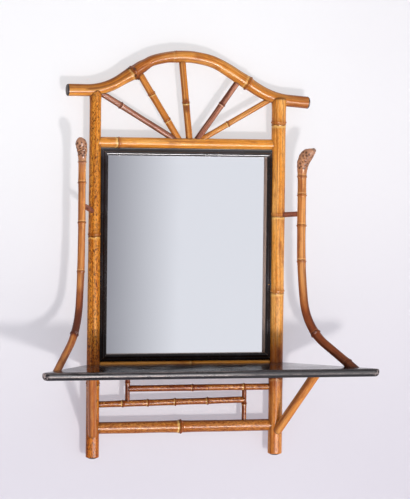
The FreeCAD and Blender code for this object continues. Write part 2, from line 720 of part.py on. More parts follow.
for side, sign in SIDES.items():
    radius = arm_radius[side]
    foot = arm_foot if sign > 0 else mirrored(arm_foot)
    stem = arm_stem if sign > 0 else mirrored(arm_stem)
    outward = (foot - stem).normalize()
    last_out = (foot - stem).Length - bends_out
    bend_start_z = shelf_z + bends_down + last_out / math.tan(whole_bend)
    neck = Vector(stem.x, stem.y, arm_neck_z[side])
    last_run = last_out / math.sin(whole_bend)
    wire = bent_wire(neck, math.degrees(-math.pi / 2), [
        (neck.z - bend_start_z, 0),
        (ARM_SLOW_BEND_RADIUS, ARM_SLOW_BEND_TURN),
        (ARM_QUICK_BEND_RADIUS, ARM_QUICK_BEND_TURN),
        (last_run + radius * 2, 0),
    ], outward)
    arm = swept(wire, radius).fuse(root_knob(neck, outward, radius))
    on_shelf = wire.Length - radius * 2
    for share in [0.0] + arm_node_shares[side]:
        arm = arm.fuse(node_ring(wire, share * on_shelf, radius))
    arm = largest(arm.cut(below_shelf_top))
    foot_point, inward = along_wire(wire, on_shelf)
    heel = foot_point - inward * STOUT_PIN_IN_CANE
    tip = foot_point + inward * STOUT_PIN_IN_MATE
    arm_pins.append(rod(heel, tip, STOUT_PIN_RADIUS))
    hole = rod(heel - inward * FIT, tip + inward * FIT, STOUT_PIN_RADIUS + FIT)
    nodes["shelf_board"] = nodes["shelf_board"].cut(hole)
    arm = arm.cut(hole)
    post_axis = post_point(side, peg_z[side])
    level_with = Part.Vertex(post_axis + UP * peg_rise[side])
    stem_distance, stem_pairs, stem_info = wire.distToShape(level_with)
    arm_axis = stem_pairs[0][0]
    reach = (arm_axis - post_axis).normalize()
    peg_start = post_axis + reach * (post_radius(side, peg_z[side]) - POST_WALL)
    peg_end = arm_axis - reach * (radius - PEG_SOCKET)
    nodes[side + "_peg"] = rod(peg_start, peg_end, PEG_RADIUS)
    socket = rod(peg_start - reach * OVERRUN, peg_end + reach * FIT, PEG_RADIUS + FIT)
    nodes[side + "_post"] = nodes[side + "_post"].cut(socket)
    nodes[side + "_arm"] = arm.cut(socket)
nodes["arm_pins"] = Part.Compound(arm_pins)

# The braces, coped to the posts and cut flat under the shelf
above_shelf_under = Part.makeBox(SHELF_FRONT_WIDTH, SHELF_REACH + OVERRUN, SHELF_REACH,
                                 Vector(-SHELF_FRONT_WIDTH / 2, -SHELF_REACH, shelf_under_z - FIT))
brace_radius = {"left": LEFT_BRACE_RADIUS, "right": RIGHT_BRACE_RADIUS}
brace_pins = []
for side, sign in SIDES.items():
    foot = post_point(side, shelf_z - BRACE_FOOT_BELOW_SHELF)
    top_x = sign * (half_spacing + BRACE_TOP_BEYOND_POST)
    top = Vector(top_x, -BRACE_TOP_FROM_WALL, shelf_under_z)
    along = (top - foot).normalize()
    radius = brace_radius[side]
    cane = rod(foot, top + along * radius * 2, radius)
    brace = largest(cane.cut([copes[side + "_post"], copes["bottom_crossrail"], above_shelf_under]))
    level_run = math.hypot(along.x, along.y)
    post_seat = foot + along * (post_radius(side, foot.z) / level_run)
    for seat, inward, mate in ((post_seat, -along, side + "_post"), (top, along, "shelf_board")):
        heel = seat - inward * STOUT_PIN_IN_CANE
        tip = seat + inward * STOUT_PIN_IN_MATE
        brace_pins.append(rod(heel, tip, STOUT_PIN_RADIUS))
        hole = rod(heel - inward * FIT, tip + inward * FIT, STOUT_PIN_RADIUS + FIT)
        brace = brace.cut(hole)
        nodes[mate] = nodes[mate].cut(hole)
    nodes[side + "_brace"] = brace
nodes["brace_pins"] = Part.Compound(brace_pins)

# The mirror frame: one moulding, mitred at four corners and scribed to the posts
frame_front_y = -FRAME_FRONT_FROM_WALL
frame_top = upper_rail_z - UPPER_RAIL_RADIUS - SCRIBE * 2
frame_bottom = sill_rail_z + SILL_RAIL_RADIUS + SCRIBE * 2
sight_half_width = half_spacing - FRAME_EDGE_FROM_POST_AXIS - FRAME_MEMBER_WIDTH
sight_half_height = (frame_top - frame_bottom) / 2 - FRAME_MEMBER_WIDTH
frame_centre = Vector(0, frame_front_y, (frame_top + frame_bottom) / 2)


def section_point(out, depth):
    return Vector(0, depth, out)


def moulding(half_sight):
    """One member along X with its sight edge at Z = 0, outwards +Z, front at Y = 0."""
    sight_front = section_point(0, BEAD_RISE)
    bead_top = section_point(BEAD_WIDTH / 2, 0)
    bead_end = section_point(BEAD_WIDTH, BEAD_RISE)
    quirk = section_point(BEAD_WIDTH, BEAD_RISE + QUIRK_DROP)
    corners = [
        bead_end,
        quirk,
        section_point(FRAME_MEMBER_WIDTH, OUTER_EDGE_DROP),
        section_point(FRAME_MEMBER_WIDTH, FRAME_DEPTH),
        section_point(REBATE, FRAME_DEPTH),
        section_point(REBATE, LIP_DEPTH),
        section_point(0, LIP_DEPTH),
        sight_front,
    ]
    edges = [Part.Arc(sight_front, bead_top, bead_end).toShape()]
    edges += [Part.makeLine(a, b) for a, b in zip(corners[:-1], corners[1:])]
    half_length = half_sight + FRAME_MEMBER_WIDTH
    face = Part.Face(Part.Wire(edges))
    face.translate(-RIGHT * half_length)
    member = face.extrude(RIGHT * half_length * 2)
    past = FRAME_MEMBER_WIDTH + OVERRUN
    for sign in SIDES.values():
        low = Vector(sign * (half_sight - OVERRUN), -OVERRUN, -OVERRUN)
        high = Vector(sign * (half_sight + past), -OVERRUN, past)
        waste = [low, high, Vector(high.x, -OVERRUN, -OVERRUN), low]
        wedge = Part.Face(Part.makePolygon(waste)).extrude(BACK * (FRAME_DEPTH + OVERRUN * 2))
        member = member.cut(wedge)
    return member


frame_members = {
    "frame_top": (sight_half_width, sight_half_height, 0),
    "frame_right": (sight_half_height, sight_half_width, QUARTER_TURN),
    "frame_bottom": (sight_half_width, sight_half_height, QUARTER_TURN * 2),
    "frame_left": (sight_half_height, sight_half_width, -QUARTER_TURN),
}


def placed(shape, out, turn):
    """Move a shape made for the top member to another side of the frame."""
    shape = shape.copy()
    shape.translate(UP * out)
    shape.rotate(Vector(0, 0, 0), BACK, turn)
    shape.translate(frame_centre)
    return shape


for name, (half_sight, out, turn) in frame_members.items():
    member = placed(moulding(half_sight), out, turn)
    around = both_posts + [copes["upper_crossrail"], copes["sill_rail"]]
    nodes[name] = largest(member.cut(around))

# Glass, bevelled backing board and the sprigs that hold them in the rebate
seat = REBATE - GLASS_PLAY


def rebate_panel(thickness, depth):
    corner = frame_centre + Vector(-sight_half_width - seat, depth, -sight_half_height - seat)
    return Part.makeBox(2 * (sight_half_width + seat), thickness, 2 * (sight_half_height + seat), corner)


nodes["mirror_glass"] = rebate_panel(GLASS_THICKNESS, LIP_DEPTH)
backing_depth = LIP_DEPTH + GLASS_THICKNESS
backing = rebate_panel(BACKING_THICKNESS, backing_depth)
backing_back_y = frame_front_y + backing_depth + BACKING_THICKNESS
backing_rim = [edge for edge in backing.Edges if edge.BoundBox.YMin > backing_back_y - FIT]
nodes["backing_board"] = backing.makeChamfer(BACKING_BEVEL, backing_rim)

sprigs = []
frame_nails = []
sprig_depth = backing_depth + BACKING_THICKNESS + SPRIG_RADIUS
for name, (half_sight, out, turn) in frame_members.items():
    for share in sprig_shares:
        x = share * half_sight * 2
        inner = Vector(x, sprig_depth, REBATE - SPRIG_OVER_BACKING)
        outer = Vector(x, sprig_depth, REBATE + SPRIG_IN_FRAME)
        sprigs.append(placed(rod(inner, outer, SPRIG_RADIUS), out, turn))
        hole = rod(inner, outer + UP * FIT, SPRIG_RADIUS + FIT)
        nodes[name] = nodes[name].cut(placed(hole, out, turn))
for side, sign in SIDES.items():
    name = "frame_" + side
    half_sight, out, turn = frame_members[name]
    for share in frame_nail_shares:
        x = (share - 1 / 2) * half_sight * 2
        inner = Vector(x, FRAME_NAIL_DEPTH, REBATE + FIT)
        outer = inner + UP * FRAME_NAIL_LENGTH
        frame_nails.append(placed(rod(inner, outer, FRAME_NAIL_RADIUS), out, turn))
        hole = rod(inner - UP * REBATE, outer + UP * FIT, FRAME_NAIL_RADIUS + FIT)
        for piece in (name, side + "_post"):
            nodes[piece] = nodes[piece].cut(placed(hole, out, turn))
nodes["glazing_sprigs"] = Part.Compound(sprigs)
nodes["frame_nails"] = Part.Compound(frame_nails)

# Thin steel clips driven across the mitres from the back
clips = []
mitre_middle = REBATE + (FRAME_MEMBER_WIDTH - REBATE) * clip_mitre_share
for x_sign in SIDES.values():
    for z_sign in SIDES.values():
        middle = frame_centre + Vector(x_sign * (sight_half_width + mitre_middle), FRAME_DEPTH - CLIP_DEPTH,
                                       z_sign * (sight_half_height + mitre_middle))
        for play, keep in ((0, True), (FIT, False)):
            size = Vector(CLIP_LENGTH + 2 * play, CLIP_DEPTH, CLIP_THICKNESS + 2 * play)
            clip = Part.makeBox(size.x, size.y, size.z, Vector(-size.x / 2, 0, -size.z / 2))
            clip.rotate(Vector(0, 0, 0), BACK, MITRE_TURN * x_sign * z_sign)
            clip.translate(middle)
            if keep:
                clips.append(clip)
            else:
                for name in ("frame_left" if x_sign < 0 else "frame_right",
                             "frame_bottom" if z_sign < 0 else "frame_top"):
                    nodes[name] = nodes[name].cut(clip)
nodes["mitre_clips"] = Part.Compound(clips)

# Keyhole hanging plates let flush into the backs of the posts
hanger_screws = []
for side, sign in SIDES.items():
    centre = Vector(sign * half_spacing, 0, 0)
    plate = slot_prism(HANGER_WIDTH, HANGER_HEIGHT, centre, HANGER_THICKNESS)
    through = centre + BACK * OVERRUN
    through_depth = HANGER_THICKNESS + OVERRUN * 2
    plate = plate.cut(rod(through, through - BACK * through_depth, HANGER_HOLE_RADIUS))
    slot_centre = through + UP * HANGER_SLOT_RISE / 2
    slot_height = HANGER_SLOT_RISE + HANGER_SLOT_RADIUS * 2
    plate = plate.cut(slot_prism(HANGER_SLOT_RADIUS * 2, slot_height, slot_centre, through_depth))
    pocket_size = HANGER_WIDTH + FIT * 2, HANGER_HEIGHT + FIT * 2
    pocket = slot_prism(*pocket_size, through, HANGER_THICKNESS + OVERRUN)
    room_radius = HANGER_HOLE_RADIUS + SCREW_HEAD_ROOM
    room_size = room_radius * 2, HANGER_SLOT_RISE + room_radius * 2
    room = slot_prism(*room_size, slot_centre, OVERRUN - post_point(side, 0).y)
    recesses = [pocket, room]
    for z_sign in SIDES.values():
        head = centre + UP * z_sign * HANGER_SCREW_OFFSET
        shape = (HANGER_SCREW_LENGTH, HANGER_SCREW_RADIUS, HANGER_SCREW_HEAD_RADIUS, HANGER_THICKNESS)
        hanger_screws.append(screw(head, -BACK, *shape))
        hole = screw_hole(head, -BACK, *shape)
        plate = plate.cut(hole)
        recesses.append(hole)
    for name in (side + "_post", "post_top_dowel_" + side):
        nodes[name] = nodes[name].cut(recesses)
    nodes["hanger_plate_" + side] = plate
nodes["hanger_screws"] = Part.Compound(hanger_screws)

for name, shape in nodes.items():
    shape.exportStep("parts/" + name + ".step")
    print(name, len(shape.Solids), shape.isValid(), round(shape.Volume / 1000, 2))
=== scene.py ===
import json
import random
from bisect import bisect_left
from dataclasses import dataclass
from itertools import accumulate, pairwise
from math import acos, asin, ceil, cos, exp, pi, radians, sin, sqrt, tan

import bmesh
import bpy
from mathutils import Euler, Matrix, Vector, noise


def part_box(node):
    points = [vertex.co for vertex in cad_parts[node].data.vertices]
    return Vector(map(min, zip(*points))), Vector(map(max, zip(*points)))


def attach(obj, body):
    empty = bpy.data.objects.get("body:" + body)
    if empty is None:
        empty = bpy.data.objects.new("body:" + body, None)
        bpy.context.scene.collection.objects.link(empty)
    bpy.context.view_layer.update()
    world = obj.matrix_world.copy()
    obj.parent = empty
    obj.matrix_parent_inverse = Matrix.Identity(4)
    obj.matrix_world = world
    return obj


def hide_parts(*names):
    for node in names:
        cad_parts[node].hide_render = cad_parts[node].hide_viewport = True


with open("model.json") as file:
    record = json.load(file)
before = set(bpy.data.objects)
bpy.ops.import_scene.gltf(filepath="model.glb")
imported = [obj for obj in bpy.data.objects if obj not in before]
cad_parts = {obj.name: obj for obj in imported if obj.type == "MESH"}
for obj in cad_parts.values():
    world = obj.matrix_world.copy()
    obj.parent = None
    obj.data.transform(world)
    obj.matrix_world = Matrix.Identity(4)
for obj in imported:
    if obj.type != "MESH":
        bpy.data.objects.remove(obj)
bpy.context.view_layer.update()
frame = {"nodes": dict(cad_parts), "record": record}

# The looks of a bamboo wall mirror. Metres, +Z up, the front faces -Y, the wall is behind.
UP = Vector((0, 0, 1))
RIGHT = Vector((1, 0, 0))
FRONT = Vector((0, -1, 0))
SIDES = {"left": -1, "right": 1}

# Sizes of the canes and the shelf, the same as the solids'
POST_X = 0.2
POST_RADII = {"left": (0.014, 0.012), "right": (0.0152, 0.015)}
FOOT_Z = -0.6125
RAIL_Y = -0.0125
UPPER_RAIL_Z = 0.041
UPPER_RAIL_RADIUS = 0.0114
SILL_RAIL_Z = -0.4264
SILL_RAIL_RADIUS = 0.0114
BOTTOM_RAIL_Z = -0.554
BOTTOM_RAIL_RADIUS = 0.0124
FRET_UPPER_Z = -0.4725
FRET_LOWER_Z = -0.505
FRET_RISE = 0.0055
FRET_RAIL_RADIUS = 0.0068
STRUT_LEFT_X = -0.1248
STRUT_RIGHT_X = 0.1312
FRET_STRUT_RADIUS = 0.0049
ARM_RADII = {"left": 0.0076, "right": 0.009}
BRACE_RADII = {"left": 0.0092, "right": 0.01}
SHELF_Z = -0.42
SHELF_THICK = 0.016
JOINT_SINK = 0.0003
SEAM_REACH = 0.0016


# Shader building blocks
class Value:
    """A number that a shader works out at each point, to be added, multiplied and mapped."""

    def __init__(self, look, socket):
        self.look = look
        self.socket = socket

    def maths(self, operation, other=0.0):
        return self.look.value("Math", {0: self, 1: other}, operation=operation)

    def __add__(self, other):
        return self.maths("ADD", other)

    def __sub__(self, other):
        return self.maths("SUBTRACT", other)

    def __mul__(self, other):
        return self.maths("MULTIPLY", other)

    def __abs__(self):
        return self.maths("ABSOLUTE")

    def eased(self, low, high, to_low=0.0, to_high=1.0):
        """The value on another scale, eased at both ends."""
        inputs = {"Value": self, "From Min": low, "From Max": high, "To Min": to_low, "To Max": to_high}
        return self.look.value("MapRange", inputs, interpolation_type="SMOOTHSTEP")

    def near(self, centre, width):
        """A soft peak of 1 where the value is near the centre."""
        off = (self - centre).maths("DIVIDE", width)
        return (off * off * -1.0).maths("EXPONENT")


class Look:
    """The shader of a material or of the world, with the place that its noise is drawn over."""

    def __init__(self, owner):
        owner.use_nodes = True
        self.tree = owner.node_tree
        self.tree.nodes.clear()
        self.place = self.node("TexCoord").outputs["Object"]

    def node(self, kind, inputs=None, **settings):
        """A shader node; an input is a constant, a value, a socket or a node, for its first output."""
        node = self.tree.nodes.new("ShaderNode" + kind)
        for key, setting in settings.items():
            setattr(node, key, setting)
        for key, given in (inputs or {}).items():
            if isinstance(given, Value):
                given = given.socket
            elif isinstance(given, bpy.types.Node):
                given = given.outputs[0]
            if isinstance(given, bpy.types.NodeSocket):
                self.tree.links.new(given, node.inputs[key])
            else:
                node.inputs[key].default_value = given
        return node

    def value(self, kind, inputs=None, output=0, **settings):
        return Value(self, self.node(kind, inputs, **settings).outputs[output])

    def axes(self):
        return [Value(self, part) for part in self.node("SeparateXYZ", {0: self.place}).outputs]

    def noisy(self, scale, detail=3.0, roughness=0.55):
        """Noise over the place, stretched by a scale along each axis."""
        stretched = self.node("Mapping", {"Vector": self.place, "Scale": scale})
        inputs = {"Vector": stretched, "Scale": 1.0, "Detail": detail, "Roughness": roughness}
        return self.value("TexNoise", inputs)

    def layered(self, colour, *layers):
        """A colour with others over it; a layer has its amount, colour and, if not a plain mix, blend."""
        for amount, over, *blend in layers:
            inputs = {0: amount}
            for index, given in ((6, colour), (7, over)):
                inputs[index] = (*given, 1) if isinstance(given, tuple) else given
            node = self.node("Mix", inputs, data_type="RGBA", blend_type=blend[0] if blend else "MIX")
            colour = node.outputs[2]
        return colour

    def relief(self, height, strength, distance):
        return self.node("Bump", {"Strength": strength, "Distance": distance, "Height": height})

    def looked_at(self):
        """1 for what the camera sees, itself or by a reflection."""
        rays = self.node("LightPath").outputs
        return Value(self, rays["Is Camera Ray"]).maths("MAXIMUM", rays["Is Glossy Ray"])

    def finish(self, shader, output="OutputMaterial"):
        self.tree.links.new(shader.outputs[0], self.node(output).inputs["Surface"])

    def paint(self, inputs):
        self.finish(self.node("BsdfPrincipled", inputs))


MATERIALS = {}


def new_look(name):
    MATERIALS[name] = bpy.data.materials.new(name)
    return Look(MATERIALS[name])


def shaded(colour, share):
    return tuple(part * share for part in colour)


# Bamboo: streaks and dark lines along the cane, flecks, rings at its knots, scorched stretches, dark stripes
# that are partly stain and partly painted shade along its sides, and painted shade at its seams
MARKS = ("knot", "ring", "burn", "mottle", "tone", "stain_and_shade", "ash", "scar", "seam")
BAMBOO_RELIEF = 0.0006
SCORCH_TINT = (0.6, 0.4, 0.34)
SCORCHED = (0.085, 0.018, 0.008)
ASHEN = (0.44, 0.26, 0.18)
SCARRED = (0.06, 0.02, 0.009)
# painted shade at the joints
SEAM_SHADE = (0.02, 0.008, 0.004)


def bamboo(name, pale, middle, dark, fleck=0.8, fleck_scale=(340, 340, 150), gloss=0.28, coat=0.1):
    look = new_look(name)
    look.place = look.node("Attribute", attribute_name="grain").outputs["Vector"]
    marks = [look.value("Attribute", output="Fac", attribute_name=mark) for mark in MARKS]
    knot, ring, burn, mottle, tone, stain_and_shade, ash, scar, seam = marks
    knot = knot + look.noisy((110, 110, 110), 2.0).eased(0.3, 0.7, -0.1, 0.1)
    streak = look.noisy((190, 190, 6), 4.0)
    lines = look.noisy((420, 420, 5), 2.0)
    fibre = look.noisy((1500, 1500, 22), 2.0)
    cloud = look.noisy((80, 80, 26))
    speck = look.noisy(fleck_scale, 3.0, 0.6)
    glint = look.noisy(shaded(fleck_scale, 1.13), 2.0, 0.5)
    patchy = burn * cloud.eased(0.2, 0.55, 0.75, 1.0)
    stain_and_shade_dark = shaded(dark, 0.55)
    palest = tuple(min(1.0, part * 1.35 + 0.08) for part in pale)
    colour = look.layered(
        middle,
        (streak.eased(0.42, 0.6), pale),
        (cloud.eased(0.48, 0.74, 0.0, 0.6), dark),
        (tone.eased(0.0, 1.0, 0.0, 0.75), dark),
        (lines.eased(0.53, 0.64, 0.0, 0.65), dark),
        (fibre.eased(0.5, 0.75, 0.0, 0.3), dark),
        (speck.eased(0.5, 0.6, 0.0, fleck) * mottle, stain_and_shade_dark),
        (glint.eased(0.54, 0.62, 0.0, fleck * 0.6) * mottle, pale),
        # dark stripes: partly stain, partly painted shade along the cane's sides and edges
        (stain_and_shade * streak.eased(0.3, 0.6, 0.6, 1.0), stain_and_shade_dark),
        (knot.near(0.15, 1.0) * ring * 0.3, dark),
        (knot.near(0.32, 0.3) * ring * 0.55, dark),
        (knot.near(-0.22, 0.17) * ring * 0.6, palest),
        (knot.near(0.02, 0.1) * ring * 0.8, shaded(dark, 0.3)),
        (patchy.eased(0.0, 0.6), SCORCH_TINT, "MULTIPLY"),
        (patchy.eased(0.35, 1.0, 0.0, 0.94), SCORCHED),
        (ash, ASHEN),
        (scar * 0.95, SCARRED),
        # painted shade: nearly black within a couple of millimetres of each joint
        (seam * 0.85, SEAM_SHADE),
    )
    look.paint({
        "Base Color": colour, "Roughness": streak.eased(0.25, 0.75, gloss - 0.06, gloss + 0.12),
        "Normal": look.relief(fibre * 0.6 + streak * 0.5, 0.25, BAMBOO_RELIEF),
        "Coat Weight": coat, "Coat Roughness": 0.16, "Specular IOR Level": 0.12,
    })


# Dark and plain woods, with the grain along one axis
WOOD_RELIEF = 0.0004


def wood(name, pale, dark, along, gloss):
    look = new_look(name)
    fibre = look.noisy([22 if axis == along else 900 for axis in range(3)])
    rings = look.noisy([5 if axis == along else 120 for axis in range(3)], 4.0)
    both = fibre * 0.45 + rings * 0.55
    look.paint({
        "Base Color": look.layered(dark, (both.eased(0.36, 0.64), pale)),
        "Roughness": fibre.eased(0.3, 0.7, gloss - 0.08, gloss + 0.1),
        "Normal": look.relief(both, 0.3, WOOD_RELIEF),
    })


# Black lacquer
LACQUER_RELIEF = 0.0005
DUST = (0.075, 0.065, 0.07)
BLOOM = (0.02, 0.018, 0.026)


def lacquer(name, base, bare, gloss, wear_and_highlight_mask, polish_mask, dull_mask=None):
    """Lacquer with brush lines, dust and scuffs; the masks say where it is worn, with painted highlights on
    the shelf, where it is polished and where it is dull.
    """
    look = new_look(name)
    cloud = look.noisy((14, 14, 14), 4.0)
    scuff = look.noisy((260, 260, 260), 4.0, 0.7)
    brush = look.noisy((18, 480, 480))
    worn = wear_and_highlight_mask(look)
    dusty = scuff.eased(0.58, 0.74, 0.0, 0.35)
    clouded = cloud.eased(0.4, 0.7, 0.0, 0.5)
    rough = cloud.eased(0.3, 0.7, gloss - 0.05, gloss + 0.1) + worn * 0.25
    if dull_mask:
        rough = rough + dull_mask(look)
    look.paint({
        "Base Color": look.layered(base, (dusty, DUST), (clouded, BLOOM), (worn, bare)),
        "Roughness": rough, "Specular IOR Level": 0.2,
        "Normal": look.relief(brush * 0.5 + scuff * 0.4, 0.07, LACQUER_RELIEF),
        "Coat Weight": polish_mask(look), "Coat Roughness": 0.1,
    })


# Where the lacquer is worn and painted with highlights, dull and polished: each range goes from none of it
# to all of it
HIGHLIGHT_AND_WEAR_FROM_FRONT = 0.007, 0.002
HIGHLIGHT_AND_WEAR_LEFTWARD = 0.12, -0.02
LOW_HIGHLIGHT_LINE_DROP = 0.0085
LOW_HIGHLIGHT_LINE_WIDTH = 0.0013
TOP_HIGHLIGHT_LINE_DROP = 0.0012
TOP_HIGHLIGHT_LINE_WIDTH = 0.0009
WORN_FROM_TIP = -0.02, -0.004
DULL_FROM_FRONT = 0.012, 0.005
DULL_RIGHTWARD = -0.05, 0.12
POLISHED_ABOVE_TOP = -0.003, -0.0005
POLISHED_FROM_FRONT = 0.006, 0.016
LIP_COVERS = 0.004
LIP_SPARE = 0.0004
BARE_FROM_GLASS = -0.0105, -0.009
MITRE_CRACK = 0.0009, 0.0003
POLISHED_ABOVE_LIP = -0.002, 0.0
shelf_low, shelf_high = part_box("shelf_board")
glass_low, glass_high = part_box("mirror_glass")


def shelf_wear_and_highlights(look):
    """Painted highlights with rubbed lacquer: a long pale line low on the front edge and a thin one on top
    of it, both painted highlights broken by worn patches and fading towards the right; and worn chips at the
    shelf's tips.
    """
    x, y, z = look.axes()
    # painted highlights, low on the front edge and at its top
    low_highlight_line = z.near(shelf_high.z - LOW_HIGHLIGHT_LINE_DROP, LOW_HIGHLIGHT_LINE_WIDTH)
    line = low_highlight_line.maths("MAXIMUM", z.near(shelf_high.z - TOP_HIGHLIGHT_LINE_DROP, TOP_HIGHLIGHT_LINE_WIDTH) * 0.5)
    patch = look.noisy((30, 60, 200), 4.0, 0.7).eased(0.36, 0.6, 0.15, 1.0)
    grit = look.noisy((300, 500, 500), 3.0, 0.7).eased(0.3, 0.6, 0.45, 1.0)
    at_front = (y - shelf_low.y).eased(*HIGHLIGHT_AND_WEAR_FROM_FRONT)
    worn_highlights = line * x.eased(*HIGHLIGHT_AND_WEAR_LEFTWARD, 0.25, 0.9) * at_front * patch * grit
    chips = look.noisy((160, 160, 160), 4.0, 0.7).eased(0.5, 0.58)
    return worn_highlights.maths("MAXIMUM", (abs(x) - shelf_high.x).eased(*WORN_FROM_TIP) * chips * 0.7)


def shelf_dull(look):
    """Added roughness where the front edge has lost its shine, most of all towards the right."""
    x, y = look.axes()[:2]
    at_front = (y - shelf_low.y).eased(*DULL_FROM_FRONT)
    return at_front * x.eased(*DULL_RIGHTWARD, 0.1, 0.4)


def shelf_polish(look):
    """The shelf's top keeps some of its polish, away from the worn front."""
    y, z = look.axes()[1:]
    on_top = (z - shelf_high.z).eased(*POLISHED_ABOVE_TOP)
    return on_top * (y - shelf_low.y).eased(*POLISHED_FROM_FRONT, 0.0, 0.4)


def top_polish(look):
    """The frame's top member keeps more of its polish than the rest."""
    sight_z = glass_high.z - LIP_COVERS
    return (look.axes()[2] - sight_z).eased(*POLISHED_ABOVE_LIP)


def bare_lip(look):
    """The bare wood of the frame's inner edge, seen beside the glass, and in its opened mitres."""
    x, y, z = look.axes()
    middle_z = (glass_low.z + glass_high.z) / 2
    half_height = glass_high.z - middle_z
    up = abs(z - middle_z)
    beside = abs(x).maths("LESS_THAN", glass_high.x - LIP_COVERS + LIP_SPARE)
    inside = beside * up.maths("LESS_THAN", half_height - LIP_COVERS + LIP_SPARE)
    lip = inside * (y - glass_low.y).eased(*BARE_FROM_GLASS) * 0.6
    off_mitre = abs(abs(x) - glass_high.x - (up - half_height))
    grit = look.noisy((300, 300, 300), 3.0, 0.7).eased(0.35, 0.6)
    return lip.maths("MAXIMUM", off_mitre.eased(*MITRE_CRACK, 0.0, 0.3) * grit)


# Glass and metal
SILVER = (0.9, 0.91, 0.92)
FOXED = (0.35, 0.33, 0.3)
METAL_RELIEF = 0.0002


def silver(name):
    look = new_look(name)
    fox = look.noisy((420, 420, 420), 4.0, 0.7)
    look.paint({
        "Base Color": look.layered(SILVER, (fox.eased(0.7, 0.78, 0.0, 0.35), FOXED)),
        "Roughness": look.noisy((9, 9, 9)).eased(0.3, 0.7, 0.01, 0.05), "Metallic": 1.0,
    })


def metal(name, bright, dull, gloss):
    look = new_look(name)
    tarnish = look.noisy((240, 240, 240), 4.0, 0.65)
    look.paint({
        "Base Color": look.layered(bright, (tarnish.eased(0.42, 0.66), dull)),
        "Roughness": tarnish.eased(0.3, 0.7, gloss - 0.08, gloss + 0.15), "Metallic": 1.0,
        "Normal": look.relief(look.noisy((2200, 2200, 160), 2.0), 0.15, METAL_RELIEF),
    })


bamboo("bamboo_honey", (0.95, 0.47, 0.12), (0.8, 0.3, 0.035), (0.28, 0.06, 0.012))
bamboo("bamboo_mottled", (0.92, 0.37, 0.04), (0.66, 0.19, 0.01), (0.22, 0.05, 0.003), 0.95, (400, 400, 170))
bamboo("bamboo_reddened", (0.75, 0.36, 0.22), (0.44, 0.15, 0.08), (0.11, 0.024, 0.014))
bamboo("root_cane", (0.8, 0.35, 0.09), (0.56, 0.19, 0.04), (0.2, 0.044, 0.014), 0.4, (420, 420, 260),
       gloss=0.34, coat=0.08)
wood("dark_peg", (0.3, 0.075, 0.03), (0.1, 0.022, 0.01), 0, 0.4)
wood("ebonised_plug", (0.05, 0.03, 0.02), (0.012, 0.008, 0.007), 1, 0.45)
# on the shelf, the pale worn colour also paints highlight lines along the front edge
lacquer("shelf_lacquer", (0.010, 0.009, 0.011), (0.5, 0.4, 0.38), 0.17, shelf_wear_and_highlights, shelf_polish, shelf_dull)
lacquer("frame_lacquer", (0.008, 0.003, 0.002), (0.42, 0.27, 0.2), 0.2, bare_lip, top_polish)
silver("silvered_glass")
wood("pine_backing", (0.56, 0.37, 0.2), (0.36, 0.21, 0.1), 2, 0.65)
wood("dowel_wood", (0.6, 0.4, 0.22), (0.42, 0.25, 0.12), 0, 0.6)
metal("steel", (0.55, 0.55, 0.56), (0.28, 0.26, 0.25), 0.35)
metal("hanger_brass", (0.78, 0.55, 0.24), (0.36, 0.22, 0.08), 0.32)
for part in frame["record"]["subparts"]:
    if part["node"] in frame["nodes"]:
        shown = frame["nodes"][part["node"]].data
        shown.materials.clear()
        shown.materials.append(MATERIALS[part["material_slot"]])


# Centre lines
class CentreLine:
    """Places and directions by distance along a row of points."""

    def __init__(self, points):
        self.points = points
        lengths = [(end - start).length for start, end in pairwise(points)]
        self.reached = list(accumulate(lengths, initial=0.0))
        self.length = self.reached[-1]
        padded = [points[0], *points, points[-1]]
        self.headings = [(after - before).normalized() for before, after in zip(padded, padded[2:])]

    def at(self, distance):
        index = min(max(bisect_left(self.reached, distance) - 1, 0), len(self.points) - 2)
        share = (distance - self.reached[index]) / (self.reached[index + 1] - self.reached[index])
        point = self.points[index].lerp(self.points[index + 1], share)
        heading = self.headings[index].lerp(self.headings[index + 1], min(max(share, 0), 1)).normalized()
        return point, heading


def shares(count):
    """Even shares from 0 to 1 in this many steps."""
    return [index / count for index in range(count + 1)]


def straight(start, end):
    return CentreLine([start, end])


def distances(line, places):
    """Distances along a line from shares of its length."""
    return [share * line.length for share in places]


def bent_line(start, heading, runs, across, step):
    """Points along straight runs and bends in the upright plane of `across`."""
    points = [start]
    angle = heading
    for size, turn in runs:
        bend = radians(turn)
        length = size if turn == 0 else abs(bend) * size
        count = max(1, round(length / step))
        for index in range(count):
            middle = angle + bend * (index + 0.5) / count
            points.append(points[-1] + (across * cos(middle) + UP * sin(middle)) * (length / count))
        angle += bend
    return points


def smooth_row(points, count):
    """A smooth row of points through a few given ones, up to the last of them."""
    row = []
    padded = [points[0], *points, points[-1]]
    for before, start, end, after in zip(padded, padded[1:], padded[2:], padded[3:]):
        for step in range(count):
            part = step / count
            squared = (2 * before - 5 * start + 4 * end - after) * part ** 2
            cubed = (3 * start - before - 3 * end + after) * part ** 3
            row.append(start + 0.5 * ((end - before) * part + squared + cubed))
    return row


def between(steps, share):
    """A value at a share of the length, eased between rows of (share, value) in order."""
    share = min(max(share, steps[0][0]), steps[-1][0])
    for (near, low), (far, high) in pairwise(steps):
        if share <= far:
            part = (share - near) / (far - near)
            return low + (high - low) * part * part * (3 - 2 * part)


def hill(distance, width):
    return exp(-(distance / width) ** 2)


def turn_between(first, second):
    return (first - second + pi) % (2 * pi) - pi


